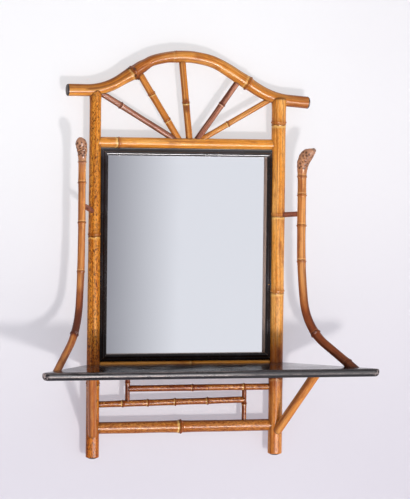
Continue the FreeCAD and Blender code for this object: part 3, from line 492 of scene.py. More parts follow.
# The skin of a cane: taper, knots with a lip, a hollow and a ridge, a furrow, unevenness and branch scars
RING_STEP = 0.004
KNOT_RING_STEP = 0.0007
AROUND = 40
FAR = 1.0
NOWHERE = ((0, 0), (1, 0))
knot_bump_shares = [(0.03, 0, 0.06), (-0.03, 0.15, 0.07), (0.075, 0.36, 0.17)]
flare_height_share, flare_reach_share = 0.03, 1.1
knot_reach_share, knot_rings_share = 4, 0.9
stripe_fade_share = 0.03
least_mottle_share = 0.15
strength_shares, shade_shares = (0.7, 1.3), (0.55, 1.0)
uneven_around, uneven_along = 0.9, 18
furrow_sharpness = 14
TONE_SPREAD = 0.15
SHIFT_SPREAD = 9


@dataclass
class Cane:
    """A cane along a line. A turn around it is 0 at the front, and grows to the right on an upright one."""

    line: CentreLine
    radii: list
    knots: list
    seed: str
    strength: float = 1.0
    shade: float = 1.0
    tone: float = 0.3
    uneven: float = 0.02
    furrow: float = 0.0
    mottle: float = 0.13
    mottle_turn: float = None
    nose: float = 0.0
    nose_depth: float = 0.3
    nose_turn: float = None
    scars: tuple = ()
    # each stripe darkens the cane along one turn: partly stain, partly painted shade down its sides and
    # edges
    stripes: tuple = ()
    burns: tuple = NOWHERE
    ashes: tuple = NOWHERE

    def __post_init__(self):
        draw = random.Random(self.seed)
        parts = range(len(self.knots) + 1)
        self.shift = Vector([draw.uniform(-SHIFT_SPREAD, SHIFT_SPREAD) for axis in range(3)])
        self.strengths = [self.strength * draw.uniform(*strength_shares) for knot in self.knots]
        self.shades = [self.shade * draw.uniform(*shade_shares) for knot in self.knots]
        self.tones = [self.tone + draw.uniform(-TONE_SPREAD, TONE_SPREAD) for part in parts]
        self.furrow_turns = [draw.uniform(0, 2 * pi) for part in parts]

    def base(self, distance):
        return between(self.radii, distance / self.line.length)

    def part_at(self, distance):
        return sum(knot < distance for knot in self.knots)

    def radius(self, distance, turn):
        base = self.base(distance)
        radius = base
        for knot, strength in zip(self.knots, self.strengths):
            away = (distance - knot) / base
            if abs(away) < knot_reach_share:
                raised = flare_height_share * exp(-abs(away) / flare_reach_share)
                for height, place, width in knot_bump_shares:
                    raised += height * hill(away - place, width)
                radius += base * strength * raised
        around = Vector((cos(turn), sin(turn), 0)) * uneven_around
        radius += base * self.uneven * noise.noise(around + UP * (distance * uneven_along) + self.shift)
        if self.furrow:
            side = cos(turn - self.furrow_turns[self.part_at(distance)])
            radius -= base * self.furrow * exp((side - 1) * furrow_sharpness)
        for place, side, size, height in self.scars:
            along = (distance - place) / size
            across = base * sin(min(abs(turn_between(turn, side)), pi / 2)) / size
            radius += height * exp(-along ** 2 - across ** 2)
        return radius

    def squeeze(self, from_end, turn):
        """How much a rounded nose draws in the radius near the start."""
        if not self.nose:
            return 1.0
        depth = self.nose_depth
        if self.nose_turn is not None:
            depth *= 0.5 + 0.5 * cos(turn - self.nose_turn)
        inwards = 1 - min(1.0, from_end / self.nose)
        return 1 - depth * (1 - sqrt(max(0.0, 1 - inwards * inwards)))

    def nearest(self, distance):
        """The place and the shade of the nearest knot; with no knots, one far off that doesn't show."""
        pairs = zip(self.knots, self.shades)
        return min(pairs, key=lambda pair: abs(distance - pair[0]), default=(-FAR, 0.0))

    def flecks(self, turn):
        if self.mottle_turn is None:
            return self.mottle
        facing = min(1.0, max(0.0, 0.6 + cos(turn - self.mottle_turn)))
        return least_mottle_share + (1 - least_mottle_share) * facing

    def stain_and_shade(self, share, turn):
        """How dark its stripes make it, partly stain and partly painted shade along its sides; a stripe has
        its turn, width, strength and, if short, first and last share.
        """
        value = 0.0
        for side, width, strength, *reach in self.stripes:
            first, last = reach or (0, 1)
            ends = [(first - stripe_fade_share, 0), (first, 1), (last, 1), (last + stripe_fade_share, 0)]
            value = max(value, strength * between(ends, share) * hill(turn_between(turn, side), width))
        return value

    def scar(self, distance, turn):
        value = 0.0
        for place, side, size, height in self.scars:
            along = (distance - place) / size
            across = self.base(distance) * turn_between(turn, side) / size
            value = max(value, exp(-(along ** 2 + across ** 2) ** 2))
        return value

    def marks(self, distance, turn, gap):
        """What the bamboo's material reads at a point, where gap is how far off the nearest joint is."""
        share = distance / self.line.length
        knot, ring = self.nearest(distance)
        return {
            "knot": (distance - knot) / self.base(distance),
            "ring": ring,
            "burn": between(self.burns, share),
            "mottle": self.flecks(turn),
            "tone": self.tones[self.part_at(distance)],
            "stain_and_shade": self.stain_and_shade(share, turn),
            "ash": between(self.ashes, share),
            "scar": self.scar(distance, turn),
            "seam": exp(-gap / SEAM_REACH),
        }

    def ring_places(self, extra):
        places = {0.0, self.line.length}
        count = ceil(self.line.length / RING_STEP)
        places.update(self.line.length * index / count for index in range(count))
        for knot in self.knots:
            reach = int(knot_rings_share * self.base(knot) / KNOT_RING_STEP)
            places.update(knot + step * KNOT_RING_STEP for step in range(-reach // 2, reach + 1))
        places.update(extra)
        return sorted(place for place in places if 0 <= place <= self.line.length)


# The ends of a cane, cut to what they meet
cut_back_share = 3


def outward(heading, turn):
    across = (FRONT - heading * FRONT.dot(heading)).normalized()
    return across * cos(turn) + heading.cross(across) * sin(turn)


def first_hit(origin, direction, mate):
    """How far a ray goes to its mate, a cylinder of (point, axis, radius) or a level at a height."""
    if isinstance(mate, float):
        return (mate - origin.z) / direction.z
    point, axis, radius = mate
    offset = origin - point
    offset = offset - axis * offset.dot(axis)
    level = direction - axis * direction.dot(axis)
    steep = level.length_squared
    towards = offset.dot(level)
    under = towards * towards - steep * (offset.length_squared - radius * radius)
    return None if under < 0 else (-towards - sqrt(under)) / steep


def cut(cane, place, sign, turn, mate):
    """Where a line along the skin meets a mate, near the start (sign -1) or the end (sign 1)."""
    point, heading = cane.line.at(place)
    radius = cane.radius(place, turn)
    back = cut_back_share * radius
    origin = point - heading * sign * back + outward(heading, turn) * radius
    reach = first_hit(origin, heading * sign, mate)
    return place if reach is None else place + sign * (reach - back + JOINT_SINK)


# Skins
SHARP_ANGLE = radians(50)
MERGE_GAP = 1e-6
SLIVER = 1e-7


def placed(name, data):
    piece = bpy.data.objects.new(name, data)
    bpy.context.scene.collection.objects.link(piece)
    return piece


def join_loops(built, first, second):
    """Faces between two closed loops of points."""
    for index in range(len(first)):
        beside = (index + 1) % len(first)
        built.faces.new((first[index], first[beside], second[beside], second[index]))


def finish_piece(built, name, slot):
    """The mesh as a smooth piece that rides on the body and stands for the node of that name."""
    bmesh.ops.recalc_face_normals(built, faces=built.faces)
    mesh = bpy.data.meshes.new(name)
    built.to_mesh(mesh)
    built.free()
    mesh.shade_smooth()
    mesh.set_sharp_from_angle(angle=SHARP_ANGLE)
    mesh.materials.append(MATERIALS[slot])
    piece = placed(name + "_skin", mesh)
    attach(piece, "root")
    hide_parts(name)


def build_cane(name, cane, slot, start_mates=(), end_mates=(), extra_rings=()):
    """A closed mesh along the cane, each end cut to what it meets."""
    line = cane.line
    built = bmesh.new()
    grain_layer = built.verts.layers.float_vector.new("grain")
    layers = {mark: built.verts.layers.float.new(mark) for mark in MARKS}
    turns = [2 * pi * index / AROUND for index in range(AROUND)]
    limits = []
    for turn in turns:
        lows = [cut(cane, 0.0, -1, turn, mate) for mate in start_mates]
        highs = [cut(cane, line.length, 1, turn, mate) for mate in end_mates]
        limits.append((max(lows + [0.0]), min(highs + [line.length])))
    loops = []
    for place in cane.ring_places(extra_rings):
        loop = []
        for turn, (low, high) in zip(turns, limits):
            distance = min(max(place, low), high)
            point, heading = line.at(distance)
            radius = cane.radius(distance, turn) * cane.squeeze(distance - low, turn)
            vertex = built.verts.new(point + outward(heading, turn) * radius)
            base = cane.base(distance)
            vertex[grain_layer] = Vector((cos(turn) * base, sin(turn) * base, distance)) + cane.shift
            start_gap = distance - low if start_mates and not cane.nose else FAR
            end_gap = high - distance if end_mates else FAR
            for mark, value in cane.marks(distance, turn, min(start_gap, end_gap)).items():
                vertex[layers[mark]] = value
            loop.append(vertex)
        loops.append(loop)
    for lower, upper in pairwise(loops):
        join_loops(built, lower, upper)
    bmesh.ops.remove_doubles(built, verts=built.verts, dist=MERGE_GAP)
    bmesh.ops.dissolve_degenerate(built, edges=built.edges, dist=SLIVER)
    open_edges = [edge for edge in built.edges if edge.is_boundary]
    bmesh.ops.holes_fill(built, edges=open_edges, sides=0)
    finish_piece(built, name, slot)


def even_cane(name, slot, start, end, radius, knot_shares, start_mates=(), end_mates=(), extra_rings=(),
              seed="", **looks):
    """A straight cane of even thickness between two points."""
    line = straight(start, end)
    cane = Cane(line, [(0, radius), (1, radius)], distances(line, knot_shares), seed or name, **looks)
    build_cane(name, cane, slot, start_mates, end_mates, extra_rings)


# The arch's line: straight runs with no turn and bends by their radius, as in the solids, and how it wanders
ARCH_START = Vector((-0.258, RAIL_Y, 0.1481))
ARCH_LEAN = radians(0.5)
ARCH_STEP = 0.003
ARCH_RUNS = [
    (0.0368, 0), (0.1408, 32.9), (0.0372, 0), (0.1852, -63.3), (0.0836, 0), (0.17, 25.7), (0.0392, 0),
]
ARCH_RADII = [
    (0, 0.0127), (0.2, 0.0123), (0.262, 0.0136), (0.3, 0.0134), (0.335, 0.0114), (0.4, 0.0116),
    (0.46, 0.0127), (0.6, 0.0125), (0.67, 0.0136), (0.73, 0.0138), (0.77, 0.0128), (1, 0.0127),
]
ARCH_WANDER = [
    (0, 0), (0.2, 0), (0.27, -0.0014), (0.31, 0), (0.345, 0.0024), (0.4, 0.0014), (0.46, 0), (0.52, 0.0006),
    (0.6, 0.0024), (0.66, 0.0024), (0.72, 0.0014), (0.8, 0.0006), (1, 0.0004),
]
HALVINGS = 40


def wandering(points):
    """The same row of points, raised and lowered as the bent cane wanders."""
    line = CentreLine(points)
    rises = [between(ARCH_WANDER, reached / line.length) for reached in line.reached]
    return [point + UP * rise for point, rise in zip(points, rises)]


arch_line = CentreLine(wandering(bent_line(ARCH_START, ARCH_LEAN, ARCH_RUNS, RIGHT, ARCH_STEP)))


def arch_at(x):
    """The arch's centre, direction and radius over a place along X."""
    low, high = 0.0, arch_line.length
    for halving in range(HALVINGS):
        middle = (low + high) / 2
        if arch_line.at(middle)[0].x < x:
            low = middle
        else:
            high = middle
    return (*arch_line.at(low), between(ARCH_RADII, low / arch_line.length))


# The posts, with a plug in each foot
TONGUE = 0.002
TONGUE_FLARE = 0.0012
FOOT_ROUND = 0.0026
FOOT_NOSE = 0.003
FOOT_RINGS = 22
FOOT_RING_STEP = FOOT_ROUND / 6
PLUG_HEAD = 0.0062
PLUG_RINGS = 12
plug_width_share = 0.86
flare_start_share = 0.96
POST_KNOT_SHARES = {"left": [0.196, 0.601], "right": [0.213, 0.453, 0.669, 0.926]}
POST_SLOTS = {"left": "bamboo_mottled", "right": "bamboo_honey"}
# stripes: partly stain, partly painted shade along a post's sides
POST_LOOKS = {
    "left": dict(
        tone=0.2, mottle_turn=-0.75, scars=[(0.1656, -0.7, 0.0045, 0.0008)],
        burns=[(0, 0.42), (0.15, 0.38), (0.24, 0.36), (0.27, 0.42), (0.36, 0)],
        stripes=[(-1.25, 0.3, 0.65), (1.35, 0.2, 0.5, 0.24, 1), (-0.5, 0.5, 0.25, 0.24, 1)]),
    "right": dict(
        tone=0.0, mottle=0.3,
        burns=[(0, 0.4), (0.15, 0.36), (0.25, 0.72), (0.28, 0.55), (0.33, 0.2), (0.37, 0)],
        stripes=[(-1.1, 0.35, 0.6, 0, 0.24), (1.3, 0.2, 0.5, 0.24, 1), (-0.5, 0.12, 0.4, 0.45, 1),
                 (-1.0, 0.3, 0.6, 0.92, 1)]),
}


def post_radius(side, z):
    foot, top = POST_RADII[side]
    top_z = arch_at(SIDES[side] * POST_X)[0].z
    return foot + (top - foot) * (z - FOOT_Z) / (top_z - FOOT_Z)


def post_point(side, z):
    return Vector((SIDES[side] * POST_X, -post_radius(side, z), z))


def post_mate(side, z):
    return post_point(side, z), UP, post_radius(side, z)


for side, sign in SIDES.items():
    over_post, along_arch, arch_radius = arch_at(sign * POST_X)
    tongue_tip = post_point(side, over_post.z) + FRONT * TONGUE_FLARE
    line = straight(post_point(side, FOOT_Z - FOOT_ROUND), tongue_tip)
    foot_radius, top_radius = POST_RADII[side]
    radii = [(0, foot_radius), (flare_start_share, top_radius), (1, top_radius + TONGUE_FLARE)]
    cane = Cane(line, radii, distances(line, POST_KNOT_SHARES[side]), side + " post", furrow=0.02,
                nose=FOOT_NOSE, nose_depth=0.1, **POST_LOOKS[side])
    fish_mouth = (over_post + UP * TONGUE, along_arch, arch_radius + TONGUE)
    near_foot = [FOOT_RING_STEP * index for index in range(FOOT_RINGS)]
    build_cane(side + "_post", cane, POST_SLOTS[side], end_mates=[fish_mouth], extra_rings=near_foot)
    plug_tip = post_point(side, FOOT_Z - PLUG_HEAD)
    even_cane("foot_plug_" + side, "ebonised_plug", plug_tip, post_point(side, FOOT_Z),
              foot_radius * plug_width_share, [], seed=side + " plug", nose=PLUG_HEAD, nose_depth=1.0,
              extra_rings=[PLUG_HEAD * share for share in shares(PLUG_RINGS)[:-1]])

# The arch; a branch scar has its place past the first knot, its turn, size and height
arch_knots = distances(arch_line, [0.258, 0.437, 0.741])
BRANCH_SCARS = [
    (0.004, pi * 0.42, 0.0045, 0.004),
    (0.006, -0.4, 0.004, 0.0014),
    (0.001, 0.5, 0.003, 0.001),
    (-0.003, -1.1, 0.004, 0.0012),
]
ARCH_BURNS = [
    (0, 0.1), (0.24, 0.12), (0.275, 0.4), (0.34, 0.35), (0.42, 0.2), (0.5, 0.05), (0.9, 0.05), (0.93, 0.3),
    (1, 0.42),
]
# stripes: a furrow line, and painted shade on the arch's upper side and edges
ARCH_STRIPES = [
    (-1.1, 0.6, 0.85, 0, 0.25), (-0.25, 0.26, 0.9, 0.08, 0.25), (1.25, 0.25, 0.6, 0, 0.25),
    (1.1, 0.45, 0.75, 0.27, 0.46), (-1.2, 0.35, 0.6, 0.27, 0.5),
    (-1.2, 0.35, 0.6, 0.5, 1), (1.25, 0.25, 0.6, 0.5, 1), (-0.4, 0.12, 0.5, 0.76, 0.97),
]
arch_scars = [(arch_knots[0] + past, *rest) for past, *rest in BRANCH_SCARS]
arch_cane = Cane(arch_line, ARCH_RADII, arch_knots, "arch", furrow=0.12, uneven=0.035,
                 scars=arch_scars, burns=ARCH_BURNS, stripes=ARCH_STRIPES)
arch_cane.furrow_turns[0] = -0.45
arch_cane.shades = [0.6, 0.2, 0.6]
arch_cane.tones = [0.3, 0.5, 0.35, 0.5]
arch_cane.strengths = [1.8, 0.4, 2.2]
build_cane("arch_rail", arch_cane, "bamboo_honey")


# The rails between the posts
def in_plane(x, z):
    """A place in the upright plane of the rails."""
    return Vector((x, RAIL_Y, z))


def rail(name, z, radius, knot_shares, **looks):
    even_cane(name, "bamboo_honey", in_plane(-POST_X, z), in_plane(POST_X, z), radius, knot_shares,
              [post_mate("left", z)], [post_mate("right", z)], **looks)


def rail_mate(z, radius):
    return in_plane(0, z), RIGHT, radius


# the rails' stripes: fine lines of stain, and painted shade along their edges
rail("upper_crossrail", UPPER_RAIL_Z, UPPER_RAIL_RADIUS, [0.117], furrow=0.05, tone=-0.1,
     stripes=[(-0.35, 0.07, 0.35), (0.1, 0.06, 0.3), (0.45, 0.06, 0.3),
              (-1.45, 0.2, 0.3)])
rail("sill_rail", SILL_RAIL_Z, SILL_RAIL_RADIUS, [0.53], furrow=0.02)
rail("bottom_crossrail", BOTTOM_RAIL_Z, BOTTOM_RAIL_RADIUS, [0.467], furrow=0.03, tone=0.62, strength=2.6,
     mottle=0.8, uneven=0.035, burns=[(0, 0.15), (0.45, 0.15), (0.5, 0.3), (1, 0.25)],
     stripes=[(-1.25, 0.3, 0.75), (0.75, 0.4, 0.45), (1.3, 0.35, 0.85)])

# The fan: each spoke's place along the upper rail and along the arch, radius, slot, knots and stripes,
# partly stain and partly painted shade along its sides
OUTER_SPOKE_X = 0.15
FAN = {
    "spoke_outer_left": (
        -0.0136, -0.2, 0.0064, "bamboo_reddened", [0.7],
        [(1.05, 0.35, 0.9), (-1.05, 0.35, 0.9), (0.35, 0.15, 0.6, 0, 0.6)]),
    "spoke_inner_left": (
        -0.014, -0.1108, 0.0072, "bamboo_honey", [0.307, 0.663],
        [(-1.1, 0.35, 0.7), (1.2, 0.3, 0.5)]),
    "spoke_centre": (
        0.0048, -0.0144, 0.0072, "bamboo_honey", [0.459],
        [(-1.0, 0.4, 0.8), (1.2, 0.3, 0.5), (0, 1.8, 0.9, 0.38, 0.5)]),
    "spoke_inner_right": (
        0.0144, 0.1144, 0.0065, "bamboo_reddened", [0.592],
        [(-0.95, 0.35, 0.9), (1.15, 0.3, 0.8)]),
    "spoke_outer_right": (
        0.0148, 0.1892, 0.006, "bamboo_honey", [0.412],
        [(1.05, 0.35, 0.7), (-1.2, 0.3, 0.6)]),
}
for name, (foot_x, head_x, radius, slot, knot_shares, stripes) in FAN.items():
    over_spoke = arch_at(head_x)
    head = over_spoke[0]
    head_mates = [over_spoke]
    if abs(head_x) > OUTER_SPOKE_X:
        head_mates.append(post_mate("left" if head_x < 0 else "right", head.z))
    even_cane(name, slot, in_plane(foot_x, UPPER_RAIL_Z), head, radius, knot_shares,
              [rail_mate(UPPER_RAIL_Z, UPPER_RAIL_RADIUS)], head_mates,
              furrow=0.03, tone=0.4, strength=2.6, shade=1.3, uneven=0.06, stripes=stripes)


# The fret: each cane's ends, radius, knots, what its ends meet, burns and stripes, partly stain and partly
# painted shade along its sides
def strut_mate(x):
    return in_plane(x, 0), UP, FRET_STRUT_RADIUS


fret_start = in_plane(-POST_X, FRET_LOWER_Z)
fret_end = in_plane(STRUT_RIGHT_X, FRET_LOWER_Z + FRET_RISE)
fret_lower_mate = (fret_start, (fret_end - fret_start).normalized(), FRET_RAIL_RADIUS)
strut_foot_z = FRET_LOWER_Z + FRET_RISE * (STRUT_LEFT_X + POST_X) / (STRUT_RIGHT_X + POST_X)
FRET = {
    "fret_rail_lower": (
        fret_start, fret_end, FRET_RAIL_RADIUS, [0.19, 0.355, 0.535, 0.75],
        post_mate("left", FRET_LOWER_Z), strut_mate(STRUT_RIGHT_X),
        [(0, 0.25), (1, 0.3)], [(1.0, 0.35, 0.9), (-1.15, 0.3, 0.8)]),
    "fret_rail_upper": (
        in_plane(STRUT_LEFT_X, FRET_UPPER_Z), in_plane(POST_X, FRET_UPPER_Z), FRET_RAIL_RADIUS, [0.43, 0.78],
        strut_mate(STRUT_LEFT_X), post_mate("right", FRET_UPPER_Z),
        [(0, 0.5), (0.48, 0.5), (0.56, 0.15), (1, 0.25)], [(1.0, 0.35, 0.9), (-1.05, 0.3, 0.9)]),
    "fret_strut_left": (
        in_plane(STRUT_LEFT_X, strut_foot_z), in_plane(STRUT_LEFT_X, SILL_RAIL_Z), FRET_STRUT_RADIUS, [0.55],
        fret_lower_mate, rail_mate(SILL_RAIL_Z, SILL_RAIL_RADIUS),
        [(0, 0.5), (1, 0.6)], [(-0.7, 0.6, 0.9)]),
    "fret_strut_right": (
        in_plane(STRUT_RIGHT_X, BOTTOM_RAIL_Z), in_plane(STRUT_RIGHT_X, FRET_UPPER_Z),
        FRET_STRUT_RADIUS, [0.55], rail_mate(BOTTOM_RAIL_Z, BOTTOM_RAIL_RADIUS),
        rail_mate(FRET_UPPER_Z, FRET_RAIL_RADIUS),
        [(0, 0.4), (1, 0.5)], [(-0.7, 0.6, 0.9)]),
}
for name, (start, end, radius, knot_shares, start_mate, end_mate, burns, stripes) in FRET.items():
    even_cane(name, "bamboo_honey", start, end, radius, knot_shares, [start_mate], [end_mate],
              furrow=0.03, uneven=0.07, tone=1.0, strength=3.0, mottle=1.1, burns=burns, stripes=stripes)

# The braces, darkened down their sides by stripes of stain and painted shade
SHELF_UNDER = SHELF_Z - SHELF_THICK
BRACE_FOOT_Z = -0.574
BRACE_TOP_X = 0.239
BRACE_TOP_Y = -0.16
BRACE_TONES = {"left": 0.75, "right": 0.45}
for side, sign in SIDES.items():
    foot = post_point(side, BRACE_FOOT_Z)
    top = Vector((sign * BRACE_TOP_X, BRACE_TOP_Y, SHELF_UNDER))
    past_top = top + (top - foot).normalized() * 2 * BRACE_RADII[side]
    even_cane(side + "_brace", "bamboo_honey", foot, past_top, BRACE_RADII[side], [],
              [post_mate(side, BRACE_FOOT_Z)], [SHELF_UNDER], seed=side + " brace", furrow=0.03, uneven=0.03,
              tone=BRACE_TONES[side], stripes=[(-0.95, 0.35, 0.8), (1.2, 0.25, 0.6)])

# The arms: root canes from a scarred knob down to the shelf
ARM_STEM = Vector((0.2386, -0.06, 0))
ARM_FOOT = Vector((0.3147, -0.175, 0))
ARM_NECK_Z = {"left": 0.002, "right": -0.023}
ARM_STEP = 0.004
ARM_BENDS = [(0.98, 7.8), (0.123, 50.6)]
ARM_KNOT_SHARES = {"left": [0.088, 0.258, 0.467, 0.745], "right": [0.085, 0.225, 0.39, 0.74, 0.965]}
# stripes: partly stain, partly painted shade down an arm's sides
ARM_LOOKS = {
    "left": dict(
        nose=0.017, nose_depth=1.0,
        burns=[(0, 0.35), (0.1, 0.2), (0.16, 0), (0.54, 0), (0.6, 0.5), (0.68, 0.9), (0.755, 1.0),
               (0.775, 0.25), (1, 0.3)],
        stripes=[(1.2, 0.3, 0.55, 0.15, 1), (-1.2, 0.3, 0.55, 0.15, 1), (-0.8, 0.7, 0.85, 0.52, 0.76)]),
    "right": dict(
        nose=0.013, nose_depth=0.65, nose_turn=pi / 2,
        burns=[(0, 0.3), (0.1, 0.2), (0.16, 0), (0.5, 0), (0.6, 0.25), (0.68, 0.65), (0.75, 0.7),
               (0.9, 0.65), (1, 0.9)],
        stripes=[(1.15, 0.3, 0.6, 0.15, 1), (-1.2, 0.3, 0.5, 0.15, 1), (-0.8, 0.6, 0.8, 0.5, 0.72),
                 (0.9, 0.5, 0.6, 0.72, 1)]),
}
KNOB_ASHES = [(0, 0.65), (0.07, 0.5), (0.12, 0.15), (0.15, 0)]

# A knob from its tip down to the neck: outwards, upwards and thickness, as shares of the arm's radius
knob_shares = {
    "left": [(2.3, 6.2, 1.25), (1.75, 5.45, 1.42), (0.9, 4.3, 1.52), (0.28, 3.0, 1.4), (0.05, 1.5, 1.15),
             (0, 0, 1.0)],
    "right": [(3.05, 6.25, 1.0), (2.6, 5.85, 1.2), (1.9, 5.2, 1.38), (0.95, 4.2, 1.5), (0.28, 2.9, 1.38),
              (0.05, 1.5, 1.15), (0, 0, 1.0)],
}
sawn_top_share = 6.4
KNOB_STEPS = 6
KNOB_RINGS = 70
SCAR_ROWS = 9
SCARS_IN_ROW = 7
scar_start_share, scar_step_share = 0.16, 0.075
SCAR_WANDER = 0.0012
SCAR_TURN_WANDER = 0.2
SCAR_SIZES = 0.0018, 0.003
SCAR_HEIGHTS = 0.0004, 0.001


def root_scars(side, knob_length):
    """Rows of scars around a knob, each with its place, turn, size and height."""
    draw = random.Random(side + " root scars")
    scars = []
    for row in range(SCAR_ROWS):
        for index in range(SCARS_IN_ROW):
            place = knob_length * (scar_start_share + scar_step_share * row)
            place += draw.uniform(-SCAR_WANDER, SCAR_WANDER)
            turn = 2 * pi * (index + 0.5 * (row % 2)) / SCARS_IN_ROW
            turn += draw.uniform(-SCAR_TURN_WANDER, SCAR_TURN_WANDER)
            scars.append((place, turn, draw.uniform(*SCAR_SIZES), draw.uniform(*SCAR_HEIGHTS)))
    return scars


def arm(side, sign):
    radius = ARM_RADII[side]
    stem = Vector((sign * ARM_STEM.x, ARM_STEM.y, SHELF_Z))
    foot = Vector((sign * ARM_FOOT.x, ARM_FOOT.y, SHELF_Z))
    aside = (foot - stem).normalized()
    bends_out = bends_down = lean = 0.0
    for bend_radius, turn in ARM_BENDS:
        leant = lean + radians(turn)
        bends_out += bend_radius * (cos(lean) - cos(leant))
        bends_down += bend_radius * (sin(leant) - sin(lean))
        lean = leant
    last_out = (foot - stem).length - bends_out
    neck = Vector((stem.x, stem.y, ARM_NECK_Z[side]))
    stem_run = neck.z - SHELF_Z - bends_down - last_out / tan(lean)
    last_run = last_out / sin(lean)
    knob = [neck + aside * (out * radius) + UP * (up * radius) for out, up, swell in knob_shares[side]]
    points = smooth_row(knob, KNOB_STEPS)
    knob_length = CentreLine(points + [neck]).length
    runs = [(stem_run, 0), *ARM_BENDS, (last_run + 2 * radius, 0)]
    line = CentreLine(points + bent_line(neck, -pi / 2, runs, aside, ARM_STEP))
    on_shelf = line.length - knob_length - 2 * radius
    radii = []
    for reached, (out, up, swell) in zip(CentreLine(knob).reached, knob_shares[side]):
        radii.append((reached / line.length, swell * radius))
    radii.append((1, radius))
    knots = [knob_length] + [knob_length + share * on_shelf for share in ARM_KNOT_SHARES[side]]
    cane = Cane(line, radii, knots, side + " arm", strength=2.2, uneven=0.05, shade=0.75,
                scars=root_scars(side, knob_length), ashes=KNOB_ASHES, **ARM_LOOKS[side])
    fine_rings = [knob_length * share for share in shares(KNOB_RINGS)[:-1]]
    sawn = [neck.z + sawn_top_share * radius] if side == "right" else []
    build_cane(side + "_arm", cane, "root_cane", sawn, [SHELF_Z], extra_rings=fine_rings)


for side, sign in SIDES.items():
    arm(side, sign)

# The shelf: a board with soft, slightly uneven edges, swept around its outline
SHELF_BACK_HALF = 0.214
SHELF_FRONT_HALF = 0.369
SHELF_CORNER = 0.013
SHELF_CORNER_STEPS = 12
SHELF_TOP_ROUND = 0.0045
SHELF_TOP_STEPS = 6
SHELF_UNDER_ROUND = 0.0088
SHELF_UNDER_STEPS = 8
SHELF_MARGIN = 0.002
SHELF_FLAT_INSET = 0.016
SHELF_STEP = 0.006
SHELF_UNEVEN = 0.0005
SHELF_WAVES = 22
SHELF_DROP_WAVES = 60


def shelf_outline(back_y, front_y):
    """Points and outward directions along the left side, the front and the right side."""
    back = Vector((SHELF_BACK_HALF, back_y, 0))
    front = Vector((SHELF_FRONT_HALF, front_y, 0))
    along = (front - back).normalized()
    side_out = Vector((-along.y, along.x, 0))
    half_angle = acos(along.dot(RIGHT)) / 2
    setback = SHELF_CORNER / tan(half_angle)
    centre = front - along * setback - side_out * SHELF_CORNER
    right_half = []
    front_count = round((front.x - setback) / SHELF_STEP)
    for share in shares(front_count)[:-1]:
        right_half.append((Vector(((front.x - setback) * share, front_y, 0)), FRONT))
    for share in shares(SHELF_CORNER_STEPS):
        out = FRONT.slerp(side_out, share)
        right_half.append((centre + out * SHELF_CORNER, out))
    side_length = (front - back).length - setback
    side_count = round(side_length / SHELF_STEP)
    for share in shares(side_count)[1:]:
        right_half.append((front - along * (setback + side_length * share), side_out))
    mirrored = Vector((-1, 1, 1))
    left_half = [(point * mirrored, out * mirrored) for point, out in right_half[1:]]
    return left_half[::-1] + right_half


def shelf_profile():
    """Insets and drops from the middle of the top over the edge to the middle of the underside."""
    rows = [(SHELF_FLAT_INSET, 0), (SHELF_TOP_ROUND + SHELF_MARGIN, 0)]
    for share in shares(SHELF_TOP_STEPS):
        turn = pi / 2 * share
        rows.append((SHELF_TOP_ROUND * (1 - sin(turn)), SHELF_TOP_ROUND * (1 - cos(turn))))
    for share in shares(SHELF_UNDER_STEPS):
        turn = pi / 2 * share
        drop = SHELF_THICK - SHELF_UNDER_ROUND * (1 - sin(turn))
        rows.append((SHELF_UNDER_ROUND * (1 - cos(turn)), drop))
    return rows + [(SHELF_UNDER_ROUND + SHELF_MARGIN, SHELF_THICK), (SHELF_FLAT_INSET, SHELF_THICK)]


def shelf():
    outline = shelf_outline(shelf_high.y, shelf_low.y)
    built = bmesh.new()
    columns = []
    for number, (point, out) in enumerate(outline):
        at_back = number in (0, len(outline) - 1)
        slide = Vector((1 / out.x, 0, 0)) if at_back else out
        column = []
        for inset, drop in shelf_profile():
            waves = Vector((point.x * SHELF_WAVES, point.y * SHELF_WAVES, drop * SHELF_DROP_WAVES))
            wave = noise.noise(waves) if inset < SHELF_UNDER_ROUND else 0.0
            place = point - slide * (inset + SHELF_UNEVEN * (0 if at_back else 0.5 + 0.5 * wave))
            column.append(built.verts.new((place.x, place.y, shelf_high.z - drop)))
        columns.append(column)
    for first, second in pairwise(columns):
        for row in range(len(first) - 1):
            built.faces.new((first[row], first[row + 1], second[row + 1], second[row]))
    left, right = columns[0], columns[-1]
    built.faces.new([column[0] for column in columns])
    built.faces.new([column[-1] for column in reversed(columns)])
    built.faces.new(left)
    built.faces.new(right[::-1])
    built.faces.new((left[0], left[-1], right[-1], right[0]))
    finish_piece(built, "shelf_board", "shelf_lacquer")


shelf()

# The mirror frame: a bead, a quirk and a sloping outer edge, mitred at the corners
FRAME_WIDTH = 0.015
FRAME_EDGE_FROM_POST = 0.0115
FRAME_FRONT_Y = -0.025
FRAME_DEPTH = 0.023
FRAME_LIP_DEPTH = 0.014
FRAME_REBATE = 0.005
BEAD_WIDTH = 0.009
BEAD_RISE = 0.003
BEAD_STEPS = 16
QUIRK_DROP = 0.0012
OUTER_DROP = 0.0055
OUTER_STEPS = 5
FRAME_UNEVEN = 0.0002
FRAME_WAVES = 30
FRAME_STEPS = 60


